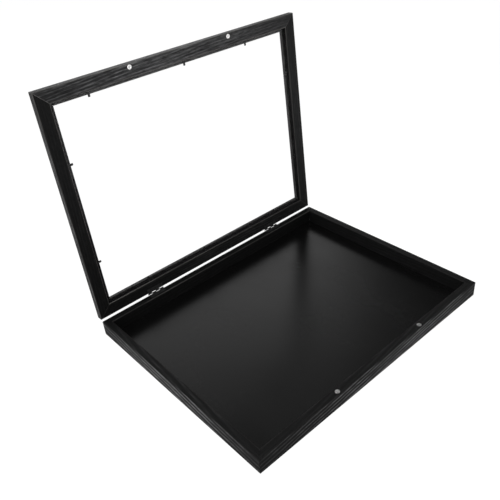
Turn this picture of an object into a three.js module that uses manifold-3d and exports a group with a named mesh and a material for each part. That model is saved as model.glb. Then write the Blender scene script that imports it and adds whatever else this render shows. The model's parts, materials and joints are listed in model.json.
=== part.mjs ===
// Jersey display frame: a shallow black wooden box with a hinged, glazed lid.
// Millimetres, +Z up. The box lies on its back; the origin is the middle of the back face.
// +X runs along the hinge line, -Y is the free edge with the magnets, +Y the hinge edge.
// The lid is modelled closed and then turned open about its hinge pins.

import * as THREE from 'three';
import { mergeVertices } from 'three/addons/utils/BufferGeometryUtils.js';
import Module from 'manifold-3d';

// Driving sizes of the case
const caseWidth = 800;
const caseDepth = 620;
const boxHeight = 44;
const lidThickness = 18;
const openAngle = THREE.MathUtils.degToRad(93.8);

// Clearances, and how far a cutting tool runs past the face that it cuts
const partingGap = 0.5;
const fitGap = 0.3;
const mitreGap = 0.3;
const overrun = 2;

// Box rails, rebated at the back for the panel
const boxRailThickness = 20;
const panelRebateWidth = 7;
const arrisRadius = 0.9;

// Back panel
const panelThickness = 4;
const panelEdgeGap = 0.5;
const panelScrewInset = 17;

// Lid rails, rebated inside for the glazing
const lidRailWidth = 43;
const glazingRebateInset = 34;
const glazingRebateDepth = 9.5;

// Glazing and the steel tabs that hold it down
const glazingThickness = 2;
const glazingEdgeGap = 1;
const tabWidth = 6;
const tabThickness = 0.5;
const tabReach = 14.5;
const tabBuriedLength = 6;

// Where the tabs and the back panel's screws stand along each rail, as shares of half its
// length. A rail's own +X runs anticlockwise round the case, seen from above.
const tabShares = {
  front: [-0.67, 0.02, 0.54],
  right: [-0.48, 0.385],
  rear: [-0.625, 0.085, 0.585],
  left: [-0.48, 0.4],
};
const panelScrewShares = { front: [-0.8, 0, 0.8], right: [0], rear: [-0.8, 0, 0.8], left: [0] };

// Corner nails: V-shaped steel strips sunk in the lid's mitres
const nailThickness = 0.6;
const nailLeg = 7;
const nailHeight = 10;
const nailSink = 2;
const nailInset = 13;

// Ring magnets in the two free edges
const magnetRadius = 6;
const magnetThickness = 3;
const magnetSink = 0.1;
const magnetInset = 9;
const magnetOffset = 154;
const magnetShift = 2;

// Hinges
const hingeLength = 50;
const hingeOffset = 224;
const knuckleCount = 4;
const knuckleGap = 0.4;
const pinStandoff = 3.2;
const pinRadius = 0.6;
const pinHeadRadius = 1.1;
const pinHeadLength = 0.8;
const leafThickness = 0.5;
const leafWidth = 13;
const leafScrewEndInset = 11;
const leafScrewInset = 7.5;
const stopLugReach = 4.2;

// Keyhole hanger plates in the back of the two long rails
const hangerLength = 42;
const hangerWidth = 10;
const hangerThickness = 1.2;
const hangerSink = 0.2;
const hangerFromTopEnd = 110;
const hangerScrewEndInset = 4.5;
const keyholeRadius = 3.7;
const keyholeSlotRadius = 1.9;
const keyholeSlotLength = 8;
const keyholeDepth = 9;

// Countersunk screws, by the radius of head and shank
const woodScrew = { head: 2.4, shank: 1.2, length: 12 };
const hingeScrew = { head: 2.2, shank: 1.1, length: 11 };
const screwRim = 0.3;
const screwSink = 0.2;
const recessWidth = 0.7;
const recessDepth = 0.8;
const recessSpanShare = 1.1;

// Facets round a full turn, and steps round an arris
const screwFacets = 14;
const barrelFacets = 20;
const magnetFacets = 36;
const arrisSteps = 3;

// Places that follow from the sizes above
const pinY = caseDepth / 2 + pinStandoff;
const pinZ = boxHeight + partingGap / 2;
const barrelBore = pinRadius + fitGap;
const barrelRadius = barrelBore + leafThickness;
const backLand = boxRailThickness - panelRebateWidth;
const ledgeHeight = panelThickness + fitGap;
const glazingBottom = glazingRebateDepth - fitGap - glazingThickness;
const tabTop = glazingBottom - fitGap;

// Materials
const blackWood = new THREE.MeshStandardMaterial({ color: 0x17171a, roughness: 0.55, metalness: 0 });
const satinBoard = new THREE.MeshStandardMaterial({ color: 0x101012, roughness: 0.3, metalness: 0 });
const clearAcrylic = new THREE.MeshStandardMaterial({
  color: 0xf4f8f8, roughness: 0.03, metalness: 0, transparent: true, opacity: 0.25,
});
const nickel = new THREE.MeshStandardMaterial({ color: 0xd6d6d2, roughness: 0.22, metalness: 1 });
const zincSteel = new THREE.MeshStandardMaterial({ color: 0xa9abad, roughness: 0.35, metalness: 1 });
const blackSteel = new THREE.MeshStandardMaterial({ color: 0x1c1c1e, roughness: 0.4, metalness: 0.8 });

const wasm = await Module();
wasm.setup();

// Welding, cutting and joining

// A geometry with shared points merged and collapsed triangles dropped
function weld(geometry) {
  const bare = geometry.clone();
  bare.deleteAttribute('normal');
  bare.deleteAttribute('uv');
  const merged = mergeVertices(bare);
  const corners = merged.index.array;
  const kept = [];
  for (let i = 0; i < corners.length; i += 3) {
    const [a, b, c] = corners.slice(i, i + 3);
    if (a !== b && b !== c && c !== a) kept.push(a, b, c);
  }
  merged.setIndex(kept);
  return merged;
}

function toSolid(geometry) {
  const welded = weld(geometry);
  return new wasm.Manifold(new wasm.Mesh({
    numProp: 3,
    vertProperties: new Float32Array(welded.attributes.position.array),
    triVerts: new Uint32Array(welded.index.array),
  }));
}

function toGeometry(solid) {
  const mesh = solid.getMesh();
  const geometry = new THREE.BufferGeometry();
  geometry.setAttribute('position', new THREE.BufferAttribute(mesh.vertProperties, 3));
  geometry.setIndex(new THREE.BufferAttribute(mesh.triVerts, 1));
  return geometry;
}

function cut(geometry, tools) {
  return toGeometry(tools.reduce((solid, tool) => solid.subtract(toSolid(tool)), toSolid(geometry)));
}

function join(geometries) {
  return toGeometry(geometries.map(toSolid).reduce((whole, part) => whole.add(part)));
}

// Basic shapes

// A block between its lowest and its highest corner
function block(low, high) {
  const size = high.map((value, axis) => value - low[axis]);
  const centre = high.map((value, axis) => (value + low[axis]) / 2);
  return new THREE.BoxGeometry(...size).translate(...centre);
}

// A flat shape from a list of points
const shapeOf = (points) => new THREE.Shape(points.map(([x, y]) => new THREE.Vector2(x, y)));

// An upright prism of a flat shape, between two heights
function prism(shape, low, high) {
  const geometry = new THREE.ExtrudeGeometry(shape, { depth: high - low, bevelEnabled: false });
  return geometry.translate(0, 0, low);
}

// A bar along X between two places, from a section of [y, z] points
function barAlongX(section, from, to) {
  return prism(shapeOf(section), from, to).rotateX(Math.PI / 2).rotateZ(Math.PI / 2);
}

// A round bar along Z between two heights
function roundBar(radius, low, high) {
  const bar = new THREE.CylinderGeometry(radius, radius, high - low, magnetFacets);
  return bar.rotateX(Math.PI / 2).translate(0, 0, (low + high) / 2);
}

// A piece turned about Z, from an outline of [radius, height] points read upwards
function turned(outline) {
  const points = outline.map(([radius, height]) => new THREE.Vector2(radius, height));
  return new THREE.LatheGeometry(points, screwFacets).rotateX(Math.PI / 2);
}

// The two places at equal distances from the middle
const pairAt = (offset) => [-offset, offset];

// A place in the object: where a piece stands, and whether it is turned over to point up
const at = (x, y, z, over = false) => ({ x, y, z, over });

// A cutting tool moved to a place
function placed(geometry, { x, y, z, over }) {
  const copy = geometry.clone();
  if (over) copy.rotateX(Math.PI);
  return copy.translate(x, y, z);
}

// The four sides of the case
const sides = {
  front: { length: caseWidth, turn: 0, x: 0, y: -caseDepth / 2 },
  right: { length: caseDepth, turn: Math.PI / 2, x: caseWidth / 2, y: 0 },
  rear: { length: caseWidth, turn: Math.PI, x: 0, y: caseDepth / 2 },
  left: { length: caseDepth, turn: -Math.PI / 2, x: -caseWidth / 2, y: 0 },
};
const sideNames = Object.keys(sides);

// Places along a side at shares of half its length
function alongSide(side, shares) {
  return shares.map((share) => (share * sides[side].length) / 2);
}

// Rails

// A quarter turn of points about a centre, clockwise from a starting angle
function arris(x, y, startAngle) {
  return Array.from({ length: arrisSteps + 1 }, (_, step) => {
    const angle = startAngle - ((step / arrisSteps) * Math.PI) / 2;
    return [x + arrisRadius * Math.cos(angle), y + arrisRadius * Math.sin(angle)];
  });
}

// Sections are [inset, height] points, the inset measured inwards from the outer edge
const boxRailSection = [
  ...arris(arrisRadius, arrisRadius, -Math.PI / 2),
  ...arris(arrisRadius, boxHeight - arrisRadius, Math.PI),
  ...arris(boxRailThickness - arrisRadius, boxHeight - arrisRadius, Math.PI / 2),
  [boxRailThickness, ledgeHeight],
  [backLand, ledgeHeight],
  [backLand, 0],
];

const lidRailSection = [
  ...arris(arrisRadius, arrisRadius, -Math.PI / 2),
  ...arris(arrisRadius, lidThickness - arrisRadius, Math.PI),
  ...arris(lidRailWidth - arrisRadius, lidThickness - arrisRadius, Math.PI / 2),
  [lidRailWidth, glazingRebateDepth],
  [glazingRebateInset, glazingRebateDepth],
  ...arris(glazingRebateInset - arrisRadius, arrisRadius, 0),
];

// A rail along X with its outer edge on Y = 0 and both ends mitred
function mitredRail(length, section) {
  const geometry = new THREE.ExtrudeGeometry(shapeOf(section), { depth: length, bevelEnabled: false });
  const place = geometry.attributes.position;
  for (let i = 0; i < place.count; i += 1) {
    const inset = place.getX(i);
    const height = place.getY(i);
    const end = Math.sign(place.getZ(i) - length / 2);
    place.setXYZ(i, end * (length / 2 - inset - mitreGap * Math.SQRT1_2), inset, height);
  }
  return geometry;
}

// Countersunk screws

// A screw that points down with its head's top at Z = 0, grown all round by a clearance
function screwBlank({ head, shank, length }, grow) {
  const rimBottom = -screwRim - grow;
  const tip = -length - grow;
  const top = grow > 0 ? overrun : 0;
  return turned([
    [0, tip],
    [shank + grow, tip + shank],
    [shank + grow, rimBottom - (head - shank)],
    [head + grow, rimBottom],
    [head + grow, top],
    [0, top],
  ]);
}

function screwBody(screw) {
  const half = (screw.head * recessSpanShare) / 2;
  const slot = block([-half, -recessWidth / 2, -recessDepth], [half, recessWidth / 2, overrun]);
  return cut(screwBlank(screw, 0), [slot, slot.clone().rotateZ(Math.PI / 2)]);
}

const screwHole = (screw) => screwBlank(screw, fitGap);

// Corner nails

// A nail for a corner at the origin whose two rails run along +X and +Y
function cornerNail(grow) {
  const half = nailThickness / 2 + grow;
  const end = nailLeg + grow;
  const outline = [[-half, -half], [end, -half], [end, half], [half, half], [half, end], [-half, end]];
  return prism(shapeOf(outline), -grow, nailHeight + grow);
}

const nailPlace = (side) => at(nailInset - sides[side].length / 2, nailInset, nailSink);

// The nail slots at both ends of a rail
function nailSlots(side) {
  const place = nailPlace(side);
  const slot = cornerNail(fitGap);
  return [
    placed(slot, place),
    placed(slot.clone().rotateZ(Math.PI / 2), { ...place, x: -place.x }),
  ];
}

// Magnets

// Both pairs stand a little to the right of the middle
const magnetPlaces = pairAt(magnetOffset).map((x) => x + magnetShift);

// The place of the screw that holds a magnet
function magnetScrewAt(place) {
  return { ...place, z: place.z + (place.over ? screwSink : -screwSink) };
}

function magnet() {
  const disc = roundBar(magnetRadius, -magnetThickness, 0);
  return cut(disc, [placed(screwHole(woodScrew), magnetScrewAt(at(0, 0, 0)))]);
}

// The pocket and pilot hole for a magnet at a place
function magnetSeat(place) {
  const floor = -magnetThickness - fitGap;
  return [
    placed(roundBar(magnetRadius + fitGap, floor, overrun), place),
    placed(screwHole(woodScrew), magnetScrewAt(place)),
  ];
}

// Hinges

const hingePlaces = pairAt(hingeOffset);
const leafScrewPlaces = pairAt(hingeLength / 2 - leafScrewEndInset);
const lidKnuckles = [0, 2];
const boxKnuckles = [1, 3];

// Where a knuckle starts and ends along the pin, counted from the left
function knuckleSpan(index) {
  const pitch = hingeLength / knuckleCount;
  const start = index * pitch - hingeLength / 2;
  return [start + knuckleGap / 2, start + pitch - knuckleGap / 2];
}

function circleSection(radius) {
  const points = new THREE.EllipseCurve(0, 0, radius, radius).getPoints(barrelFacets);
  return points.slice(1).map((point) => [point.x, point.y]);
}

// A stop lug's section: a strip that leaves the pin rearwards at half the opening angle, so
// that the lid's lug and the box's lug meet when the lid is fully open
function lugSection(from) {
  const along = new THREE.Vector2(Math.cos(openAngle / 2), Math.sin(openAngle / 2));
  const away = new THREE.Vector2(-along.y, along.x);
  const near = fitGap / 2;
  const far = near + leafThickness;
  return [[from, near], [stopLugReach, near], [stopLugReach, far], [from, far]].map(([reach, lift]) => (
    along.clone().multiplyScalar(reach).addScaledVector(away, lift).toArray()
  ));
}

// A leaf's screws about its pin: side 1 is the lid's leaf, above the parting plane, and
// side -1 the box's leaf, below it
function leafScrewsAt(side) {
  const height = side * (partingGap / 2 + screwSink);
  return leafScrewPlaces.map((x) => at(x, -pinStandoff - leafScrewInset, height, side > 0));
}

function hingeLeaf(knuckles, side) {
  const half = hingeLength / 2;
  const low = partingGap / 2;
  const high = low + leafThickness;
  const strip = (from, to) => [[from, low], [to, low], [to, high], [from, high]];
  const bar = (section, from, to) => barAlongX(section.map(([y, z]) => [y, side * z]), from, to);
  const knuckleParts = knuckles.map(knuckleSpan).flatMap(([from, to]) => [
    bar(strip(-pinStandoff - leafThickness, 0), from, to),
    bar(circleSection(barrelRadius), from, to),
    bar(lugSection(0), from, to),
  ]);
  const blank = join([
    bar(strip(-pinStandoff - leafWidth, -pinStandoff), -half, half),
    bar(lugSection(barrelRadius + knuckleGap), -half, half),
    ...knuckleParts,
  ]);
  const bore = bar(circleSection(barrelBore), -half - overrun, half + overrun);
  return cut(blank, [bore, ...leafScrewsAt(side).map((place) => placed(screwHole(hingeScrew), place))]);
}

function hingePin() {
  const half = hingeLength / 2 + fitGap;
  const end = half + pinHeadLength;
  return turned([
    [0, -end],
    [pinHeadRadius, -end],
    [pinHeadRadius, -half],
    [pinRadius, -half],
    [pinRadius, half],
    [pinHeadRadius, half],
    [pinHeadRadius, end],
    [0, end],
  ]).rotateY(Math.PI / 2);
}

// The beds and pilot holes of both hinges in a rear rail's face: side 1 cuts up into the
// lid, side -1 down into the box
function leafSeats(face, side) {
  const half = hingeLength / 2 + fitGap;
  const heights = [face - side * overrun, face + side * (leafThickness + fitGap)];
  return hingePlaces.flatMap((x) => [
    block([x - half, -overrun, Math.min(...heights)], [x + half, leafWidth + fitGap, Math.max(...heights)]),
    ...leafScrewPlaces.map((place) => (
      placed(screwHole(hingeScrew), at(x + place, leafScrewInset, face + side * screwSink, side > 0))
    )),
  ]);
}

// Hangers: both plates stand near the right-hand end, the top when the case hangs upright

const hangerX = caseWidth / 2 - hangerFromTopEnd;
const hangerInset = backLand / 2;
const hangerScrewPlaces = pairAt(hangerLength / 2 - hangerScrewEndInset);
const keyholeShift = -keyholeSlotLength / 2;
const hangerSides = ['front', 'rear'];

// The keyhole: a round mouth with a slot towards the top end
function keyholeShape() {
  const meetAngle = Math.asin(keyholeSlotRadius / keyholeRadius);
  const shape = new THREE.Shape();
  shape.absarc(0, 0, keyholeRadius, meetAngle, 2 * Math.PI - meetAngle, false);
  shape.absarc(keyholeSlotLength, 0, keyholeSlotRadius, -Math.PI / 2, Math.PI / 2, false);
  return shapeOf(shape.getPoints(screwFacets).map((point) => [point.x, point.y]));
}

// A plate lying on Z = 0, its screw heads facing down
function hangerPlate() {
  const plate = block(
    [-hangerLength / 2, -hangerWidth / 2, 0],
    [hangerLength / 2, hangerWidth / 2, hangerThickness],
  );
  const keyhole = prism(keyholeShape(), -overrun, hangerThickness + overrun);
  const holes = hangerScrewPlaces.map((x) => placed(screwHole(woodScrew), at(x, 0, screwSink, true)));
  return cut(plate, [keyhole.translate(keyholeShift, 0, 0), ...holes]);
}

// The bed for a plate in a rail's back, the pocket behind its keyhole and its pilot holes,
// turned back by the side's turn so that the slot points to the top end on both rails
function hangerSeat(side) {
  const halfLength = hangerLength / 2 + fitGap;
  const halfWidth = hangerWidth / 2 + fitGap;
  const bedTop = hangerSink + hangerThickness + fitGap;
  const tools = [
    block([-halfLength, -halfWidth, -overrun], [halfLength, halfWidth, bedTop]),
    block(
      [keyholeShift - keyholeRadius, -keyholeRadius, 0],
      [keyholeShift + keyholeSlotLength + keyholeRadius, keyholeRadius, keyholeDepth],
    ),
    ...hangerScrewPlaces.map((x) => (
      placed(screwHole(woodScrew), at(x, 0, hangerSink + screwSink, true))
    )),
  ];
  const { turn } = sides[side];
  return tools.map((tool) => (
    tool.rotateZ(-turn).translate(Math.cos(turn) * hangerX, hangerInset, 0)
  ));
}

// Back panel

function panelScrewsAt(side) {
  return alongSide(side, panelScrewShares[side]).map((x) => at(x, panelScrewInset, screwSink, true));
}

function panelScrewHoles(side) {
  return panelScrewsAt(side).map((place) => placed(screwHole(woodScrew), place));
}

function backPanel() {
  const halfWidth = caseWidth / 2 - backLand - panelEdgeGap;
  const halfDepth = caseDepth / 2 - backLand - panelEdgeGap;
  const sheet = block([-halfWidth, -halfDepth, 0], [halfWidth, halfDepth, panelThickness]);
  return cut(sheet, sideNames.flatMap((side) => (
    panelScrewHoles(side).map((hole) => (
      hole.rotateZ(sides[side].turn).translate(sides[side].x, sides[side].y, 0)
    ))
  )));
}

// Glazing and its tabs

function glazingSheet() {
  const halfWidth = caseWidth / 2 - glazingRebateInset - glazingEdgeGap;
  const halfDepth = caseDepth / 2 - glazingRebateInset - glazingEdgeGap;
  return block(
    [-halfWidth, -halfDepth, glazingBottom],
    [halfWidth, halfDepth, glazingBottom + glazingThickness],
  );
}

// A tab lies on the glazing and runs back into the rebate's wall
function tab() {
  return block(
    [-tabWidth / 2, -tabBuriedLength, -tabThickness],
    [tabWidth / 2, tabReach, 0],
  );
}

function tabSlot() {
  const half = tabWidth / 2 + fitGap;
  return block(
    [-half, -tabBuriedLength - fitGap, -tabThickness - fitGap],
    [half, overrun, fitGap],
  );
}

function tabsAt(side) {
  return alongSide(side, tabShares[side]).map((x) => at(x, glazingRebateInset, tabTop));
}

// The rails with everything that is cut into them, each in its own place

const boxFace = boxHeight;
const lidFace = 0;
const boxMagnetAt = (x) => at(x, magnetInset, boxFace - magnetSink);
const lidMagnetAt = (x) => at(x, magnetInset, lidFace + magnetSink, true);

function boxRail(side) {
  const tools = panelScrewHoles(side);
  if (hangerSides.includes(side)) tools.push(...hangerSeat(side));
  if (side === 'front') tools.push(...magnetPlaces.flatMap((x) => magnetSeat(boxMagnetAt(x))));
  if (side === 'rear') tools.push(...leafSeats(boxFace, -1));
  return cut(mitredRail(sides[side].length, boxRailSection), tools);
}

function lidRail(side) {
  const tools = [...nailSlots(side), ...tabsAt(side).map((place) => placed(tabSlot(), place))];
  if (side === 'front') tools.push(...magnetPlaces.flatMap((x) => magnetSeat(lidMagnetAt(x))));
  if (side === 'rear') tools.push(...leafSeats(lidFace, 1));
  return cut(mitredRail(sides[side].length, lidRailSection), tools);
}

// Assembly

function groupAt(parent, x, y, z) {
  const group = new THREE.Group();
  group.position.set(x, y, z);
  parent.add(group);
  return group;
}

// One group for each side, in which a rail lies along X with its outer edge on Y = 0
function sideGroups(parent) {
  return Object.fromEntries(Object.entries(sides).map(([side, { x, y, turn }]) => {
    const group = groupAt(parent, x, y, 0);
    group.rotation.z = turn;
    return [side, group];
  }));
}

function addPiece(parent, name, geometry, material, place = at(0, 0, 0)) {
  const piece = new THREE.Mesh(geometry, material.clone());
  piece.name = name;
  piece.position.set(place.x, place.y, place.z);
  piece.rotation.x = place.over ? Math.PI : 0;
  piece.geometry.computeVertexNormals();
  parent.add(piece);
}

// Copies of one piece, numbered from 1
function addCopies(parent, name, geometry, material, places) {
  places.forEach((place, i) => addPiece(parent, `${name}_${i + 1}`, geometry, material, place));
}

const displayFrame = new THREE.Group();
const box = groupAt(displayFrame, 0, 0, 0);

// The lid turns about the pins. Its own pieces are placed as they lie when it is closed.
const lid = groupAt(displayFrame, 0, pinY, pinZ);
lid.rotation.x = -openAngle;
const closedLid = groupAt(lid, 0, -pinY, boxHeight + partingGap - pinZ);

const boxSides = sideGroups(box);
const lidSides = sideGroups(closedLid);

const plainScrew = screwBody(woodScrew);
const smallScrew = screwBody(hingeScrew);

for (const side of sideNames) {
  addPiece(boxSides[side], `box_rail_${side}`, boxRail(side), blackWood);
  addCopies(boxSides[side], `panel_screw_${side}`, plainScrew, zincSteel, panelScrewsAt(side));
  addPiece(lidSides[side], `lid_rail_${side}`, lidRail(side), blackWood);
  addPiece(lidSides[side], `lid_corner_nail_${side}`, cornerNail(0), zincSteel, nailPlace(side));
  addCopies(lidSides[side], `glazing_tab_${side}`, tab(), blackSteel, tabsAt(side));
}
addPiece(box, 'back_panel', backPanel(), satinBoard);
addPiece(closedLid, 'glazing_sheet', glazingSheet(), clearAcrylic);

['left', 'right'].forEach((hand, i) => {
  for (const [owner, group, magnetAt] of [
    ['box', boxSides.front, boxMagnetAt],
    ['lid', lidSides.front, lidMagnetAt],
  ]) {
    const place = magnetAt(magnetPlaces[i]);
    addPiece(group, `${owner}_magnet_${hand}`, magnet(), nickel, place);
    addPiece(group, `${owner}_magnet_screw_${hand}`, plainScrew, zincSteel, magnetScrewAt(place));
  }

  const boxHinge = groupAt(box, hingePlaces[i], pinY, pinZ);
  const lidHinge = groupAt(lid, hingePlaces[i], 0, 0);
  addPiece(boxHinge, `hinge_pin_${hand}`, weld(hingePin()), blackSteel);
  addPiece(boxHinge, `box_hinge_leaf_${hand}`, hingeLeaf(boxKnuckles, -1), blackSteel);
  addCopies(boxHinge, `box_hinge_screw_${hand}`, smallScrew, blackSteel, leafScrewsAt(-1));
  addPiece(lidHinge, `lid_hinge_leaf_${hand}`, hingeLeaf(lidKnuckles, 1), blackSteel);
  addCopies(lidHinge, `lid_hinge_screw_${hand}`, smallScrew, blackSteel, leafScrewsAt(1));
});

for (const side of hangerSides) {
  const inward = Math.sign(-sides[side].y);
  const hanger = groupAt(box, hangerX, sides[side].y + inward * hangerInset, hangerSink);
  const screwPlaces = hangerScrewPlaces.map((x) => at(x, 0, screwSink, true));
  addPiece(hanger, `hanger_plate_${side}`, hangerPlate(), zincSteel);
  addCopies(hanger, `hanger_screw_${side}`, plainScrew, zincSteel, screwPlaces);
}

export default displayFrame;
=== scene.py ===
"""The jersey display frame, standing open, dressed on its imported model.

Every length is in metres. The case lies on its back with the middle of the back face at the
origin, +X along the hinge line and the free edge towards -Y.
"""

from __future__ import annotations

import json
import logging
import math
from abc import ABC, abstractmethod
from dataclasses import dataclass, field
from enum import Enum
from functools import reduce
from typing import ClassVar, Sequence

import bmesh
import bpy
from mathutils import Euler, Matrix, Vector


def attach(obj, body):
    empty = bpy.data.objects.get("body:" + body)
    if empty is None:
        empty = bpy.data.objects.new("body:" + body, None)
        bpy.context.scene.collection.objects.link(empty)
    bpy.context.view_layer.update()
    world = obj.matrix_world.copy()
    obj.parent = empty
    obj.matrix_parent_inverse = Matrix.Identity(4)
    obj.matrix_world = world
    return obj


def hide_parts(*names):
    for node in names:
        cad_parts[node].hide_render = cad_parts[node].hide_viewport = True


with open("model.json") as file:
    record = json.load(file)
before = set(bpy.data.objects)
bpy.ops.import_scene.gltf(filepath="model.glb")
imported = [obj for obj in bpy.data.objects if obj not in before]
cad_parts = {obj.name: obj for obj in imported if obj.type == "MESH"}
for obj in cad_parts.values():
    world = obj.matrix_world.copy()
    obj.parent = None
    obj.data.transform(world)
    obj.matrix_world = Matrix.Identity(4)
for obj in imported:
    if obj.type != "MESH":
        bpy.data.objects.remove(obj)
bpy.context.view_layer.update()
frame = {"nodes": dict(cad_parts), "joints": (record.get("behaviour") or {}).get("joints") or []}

LOG = logging.getLogger("display_frame")
MM = 0.001
WELD_DISTANCE = 0.01 * MM
MITRE_ANGLE = math.radians(45)
WOOD_SHARP_ANGLE = math.radians(28)
METAL_SHARP_ANGLE = math.radians(30)
RANDOM_SEED = 7
NOISE_MIDDLE = 0.5
HANDS = ("left", "right")

# The attributes that a rail carries for its wood, and that a loose point carries for its copy
GRAIN = "grain"
RAIL = "rail"
# The look attribute holds a rail's wear, its pale figure's strength and its mitre lines, which carry
# painted highlights and painted sheen
LOOK_AND_LIGHT = "look"
BOARD = "board"
TURN = "turn"

Mesh = bpy.types.Mesh
Material = bpy.types.Material
Socket = bpy.types.NodeSocket
Point = tuple[float, float]
Pair = tuple[float, float]
Triple = tuple[float, float, float]
Links = dict[str | int, object]
Stops = Sequence[tuple[float, Triple]]

WHITE: Triple = (1.0, 1.0, 1.0)


class Side(Enum):
    """The four sides of the case, named as they lie in front of the hinge line."""

    FRONT = "front"
    RIGHT = "right"
    REAR = "rear"
    LEFT = "left"

    @property
    def turn(self) -> float:
        """The angle about Z from a rail along +X to its place on this side."""
        return list(Side).index(self) * math.pi / 2

    @property
    def is_long(self) -> bool:
        """Whether the side runs along the hinge line."""
        return self in (Side.FRONT, Side.REAR)


class Body(Enum):
    """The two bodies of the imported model."""

    BOX = "box"
    LID = "lid"


class Slot(Enum):
    """The record's material slots."""

    WOOD = "black_wood"
    BOARD = "black_board"
    ACRYLIC = "clear_acrylic"
    NICKEL = "nickel_magnet"
    ZINC = "zinc_steel"
    BLACK_STEEL = "black_steel"


Finishes = dict[Slot, Material]


@dataclass(frozen=True)
class CaseSizes:
    """The sizes that both halves of the case share."""

    width: float = 800 * MM
    depth: float = 620 * MM
    box_height: float = 44 * MM
    lid_thickness: float = 18 * MM
    parting_gap: float = 0.5 * MM
    fit_gap: float = 0.3 * MM
    mitre_gap: float = 0.3 * MM
    overrun: float = 2 * MM

    @property
    def hinge_line(self) -> Vector:
        """A point on the hinge's axis."""
        return Vector(frame["joints"][0]["pos_m"])

    @property
    def open_angle(self) -> float:
        """How far the lid stands open, in radians."""
        return math.radians(frame["joints"][0]["range_deg"][1])

    def length(self, side: Side) -> float:
        """The outside length of a side."""
        return self.width if side.is_long else self.depth

    def side_place(self, side: Side) -> Matrix:
        """Turns a rail that lies along X, outer edge on Y = 0, to its side of the case."""
        outwards = self.depth / 2 if side.is_long else self.width / 2
        return Matrix.Rotation(side.turn, 4, "Z") @ Matrix.Translation((0, -outwards, 0))

    @property
    def lid_place(self) -> Matrix:
        """Turns the closed lid, its parting face on Z = 0, to where it stands open.

        Returns:
            The matrix from the lid's own place to the case's.
        """
        pin = self.hinge_line
        closed_height = self.box_height + self.parting_gap - pin.z
        to_hinge = Matrix.Translation((0, -pin.y, closed_height))
        swing = Matrix.Rotation(-self.open_angle, 4, "X")
        return Matrix.Translation((0, pin.y, pin.z)) @ swing @ to_hinge


class Steps:
    """Adds nodes to a tree and links them, so that a tree reads as a list of steps."""

    def __init__(self, tree: bpy.types.NodeTree) -> None:
        """Keeps the tree that is being built."""
        self.tree = tree

    def join(self, value: object, socket: Socket) -> None:
        """Gives an input its value.

        Args:
            value: another node's output or a measure, which is linked, or a plain value.
            socket: the input.
        """
        if isinstance(value, Measure):
            value = value.socket
        if isinstance(value, Socket):
            self.tree.links.new(value, socket)
        else:
            socket.default_value = value

    def add(self, kind: str, links: Links | None = None, **settings: object) -> bpy.types.Node:
        """Adds one node.

        Args:
            kind: the node's type name.
            links: the value of each input, by its name or number.
            settings: attributes of the node itself, such as its operation.

        Returns:
            The new node.
        """
        node = self.tree.nodes.new(kind)
        for name, value in settings.items():
            setattr(node, name, value)
        for key, value in (links or {}).items():
            self.join(value, node.inputs[key])
        return node

    def vector(self, x: object = 0.0, y: object = 0.0, z: object = 0.0) -> Socket:
        """A vector made of three values."""
        return self.add("ShaderNodeCombineXYZ", {"X": x, "Y": y, "Z": z}).outputs[0]


class Measure:
    """A size inside a geometry tree that can be added to, taken from and scaled."""

    def __init__(self, steps: Steps, socket: Socket) -> None:
        """Wraps an output socket of the tree that steps builds."""
        self.steps = steps
        self.socket = socket

    def _math(self, operation: str, other: Measure | float) -> Measure:
        """This size and another joined by a Math node."""
        node = self.steps.add("ShaderNodeMath", {0: self, 1: other}, operation=operation)
        return Measure(self.steps, node.outputs[0])

    def __add__(self, other: Measure | float) -> Measure:
        """The sum of two sizes."""
        return self._math("ADD", other)

    def __sub__(self, other: Measure | float) -> Measure:
        """One size less another."""
        return self._math("SUBTRACT", other)

    def __mul__(self, other: Measure | float) -> Measure:
        """A size times a number."""
        return self._math("MULTIPLY", other)


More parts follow.
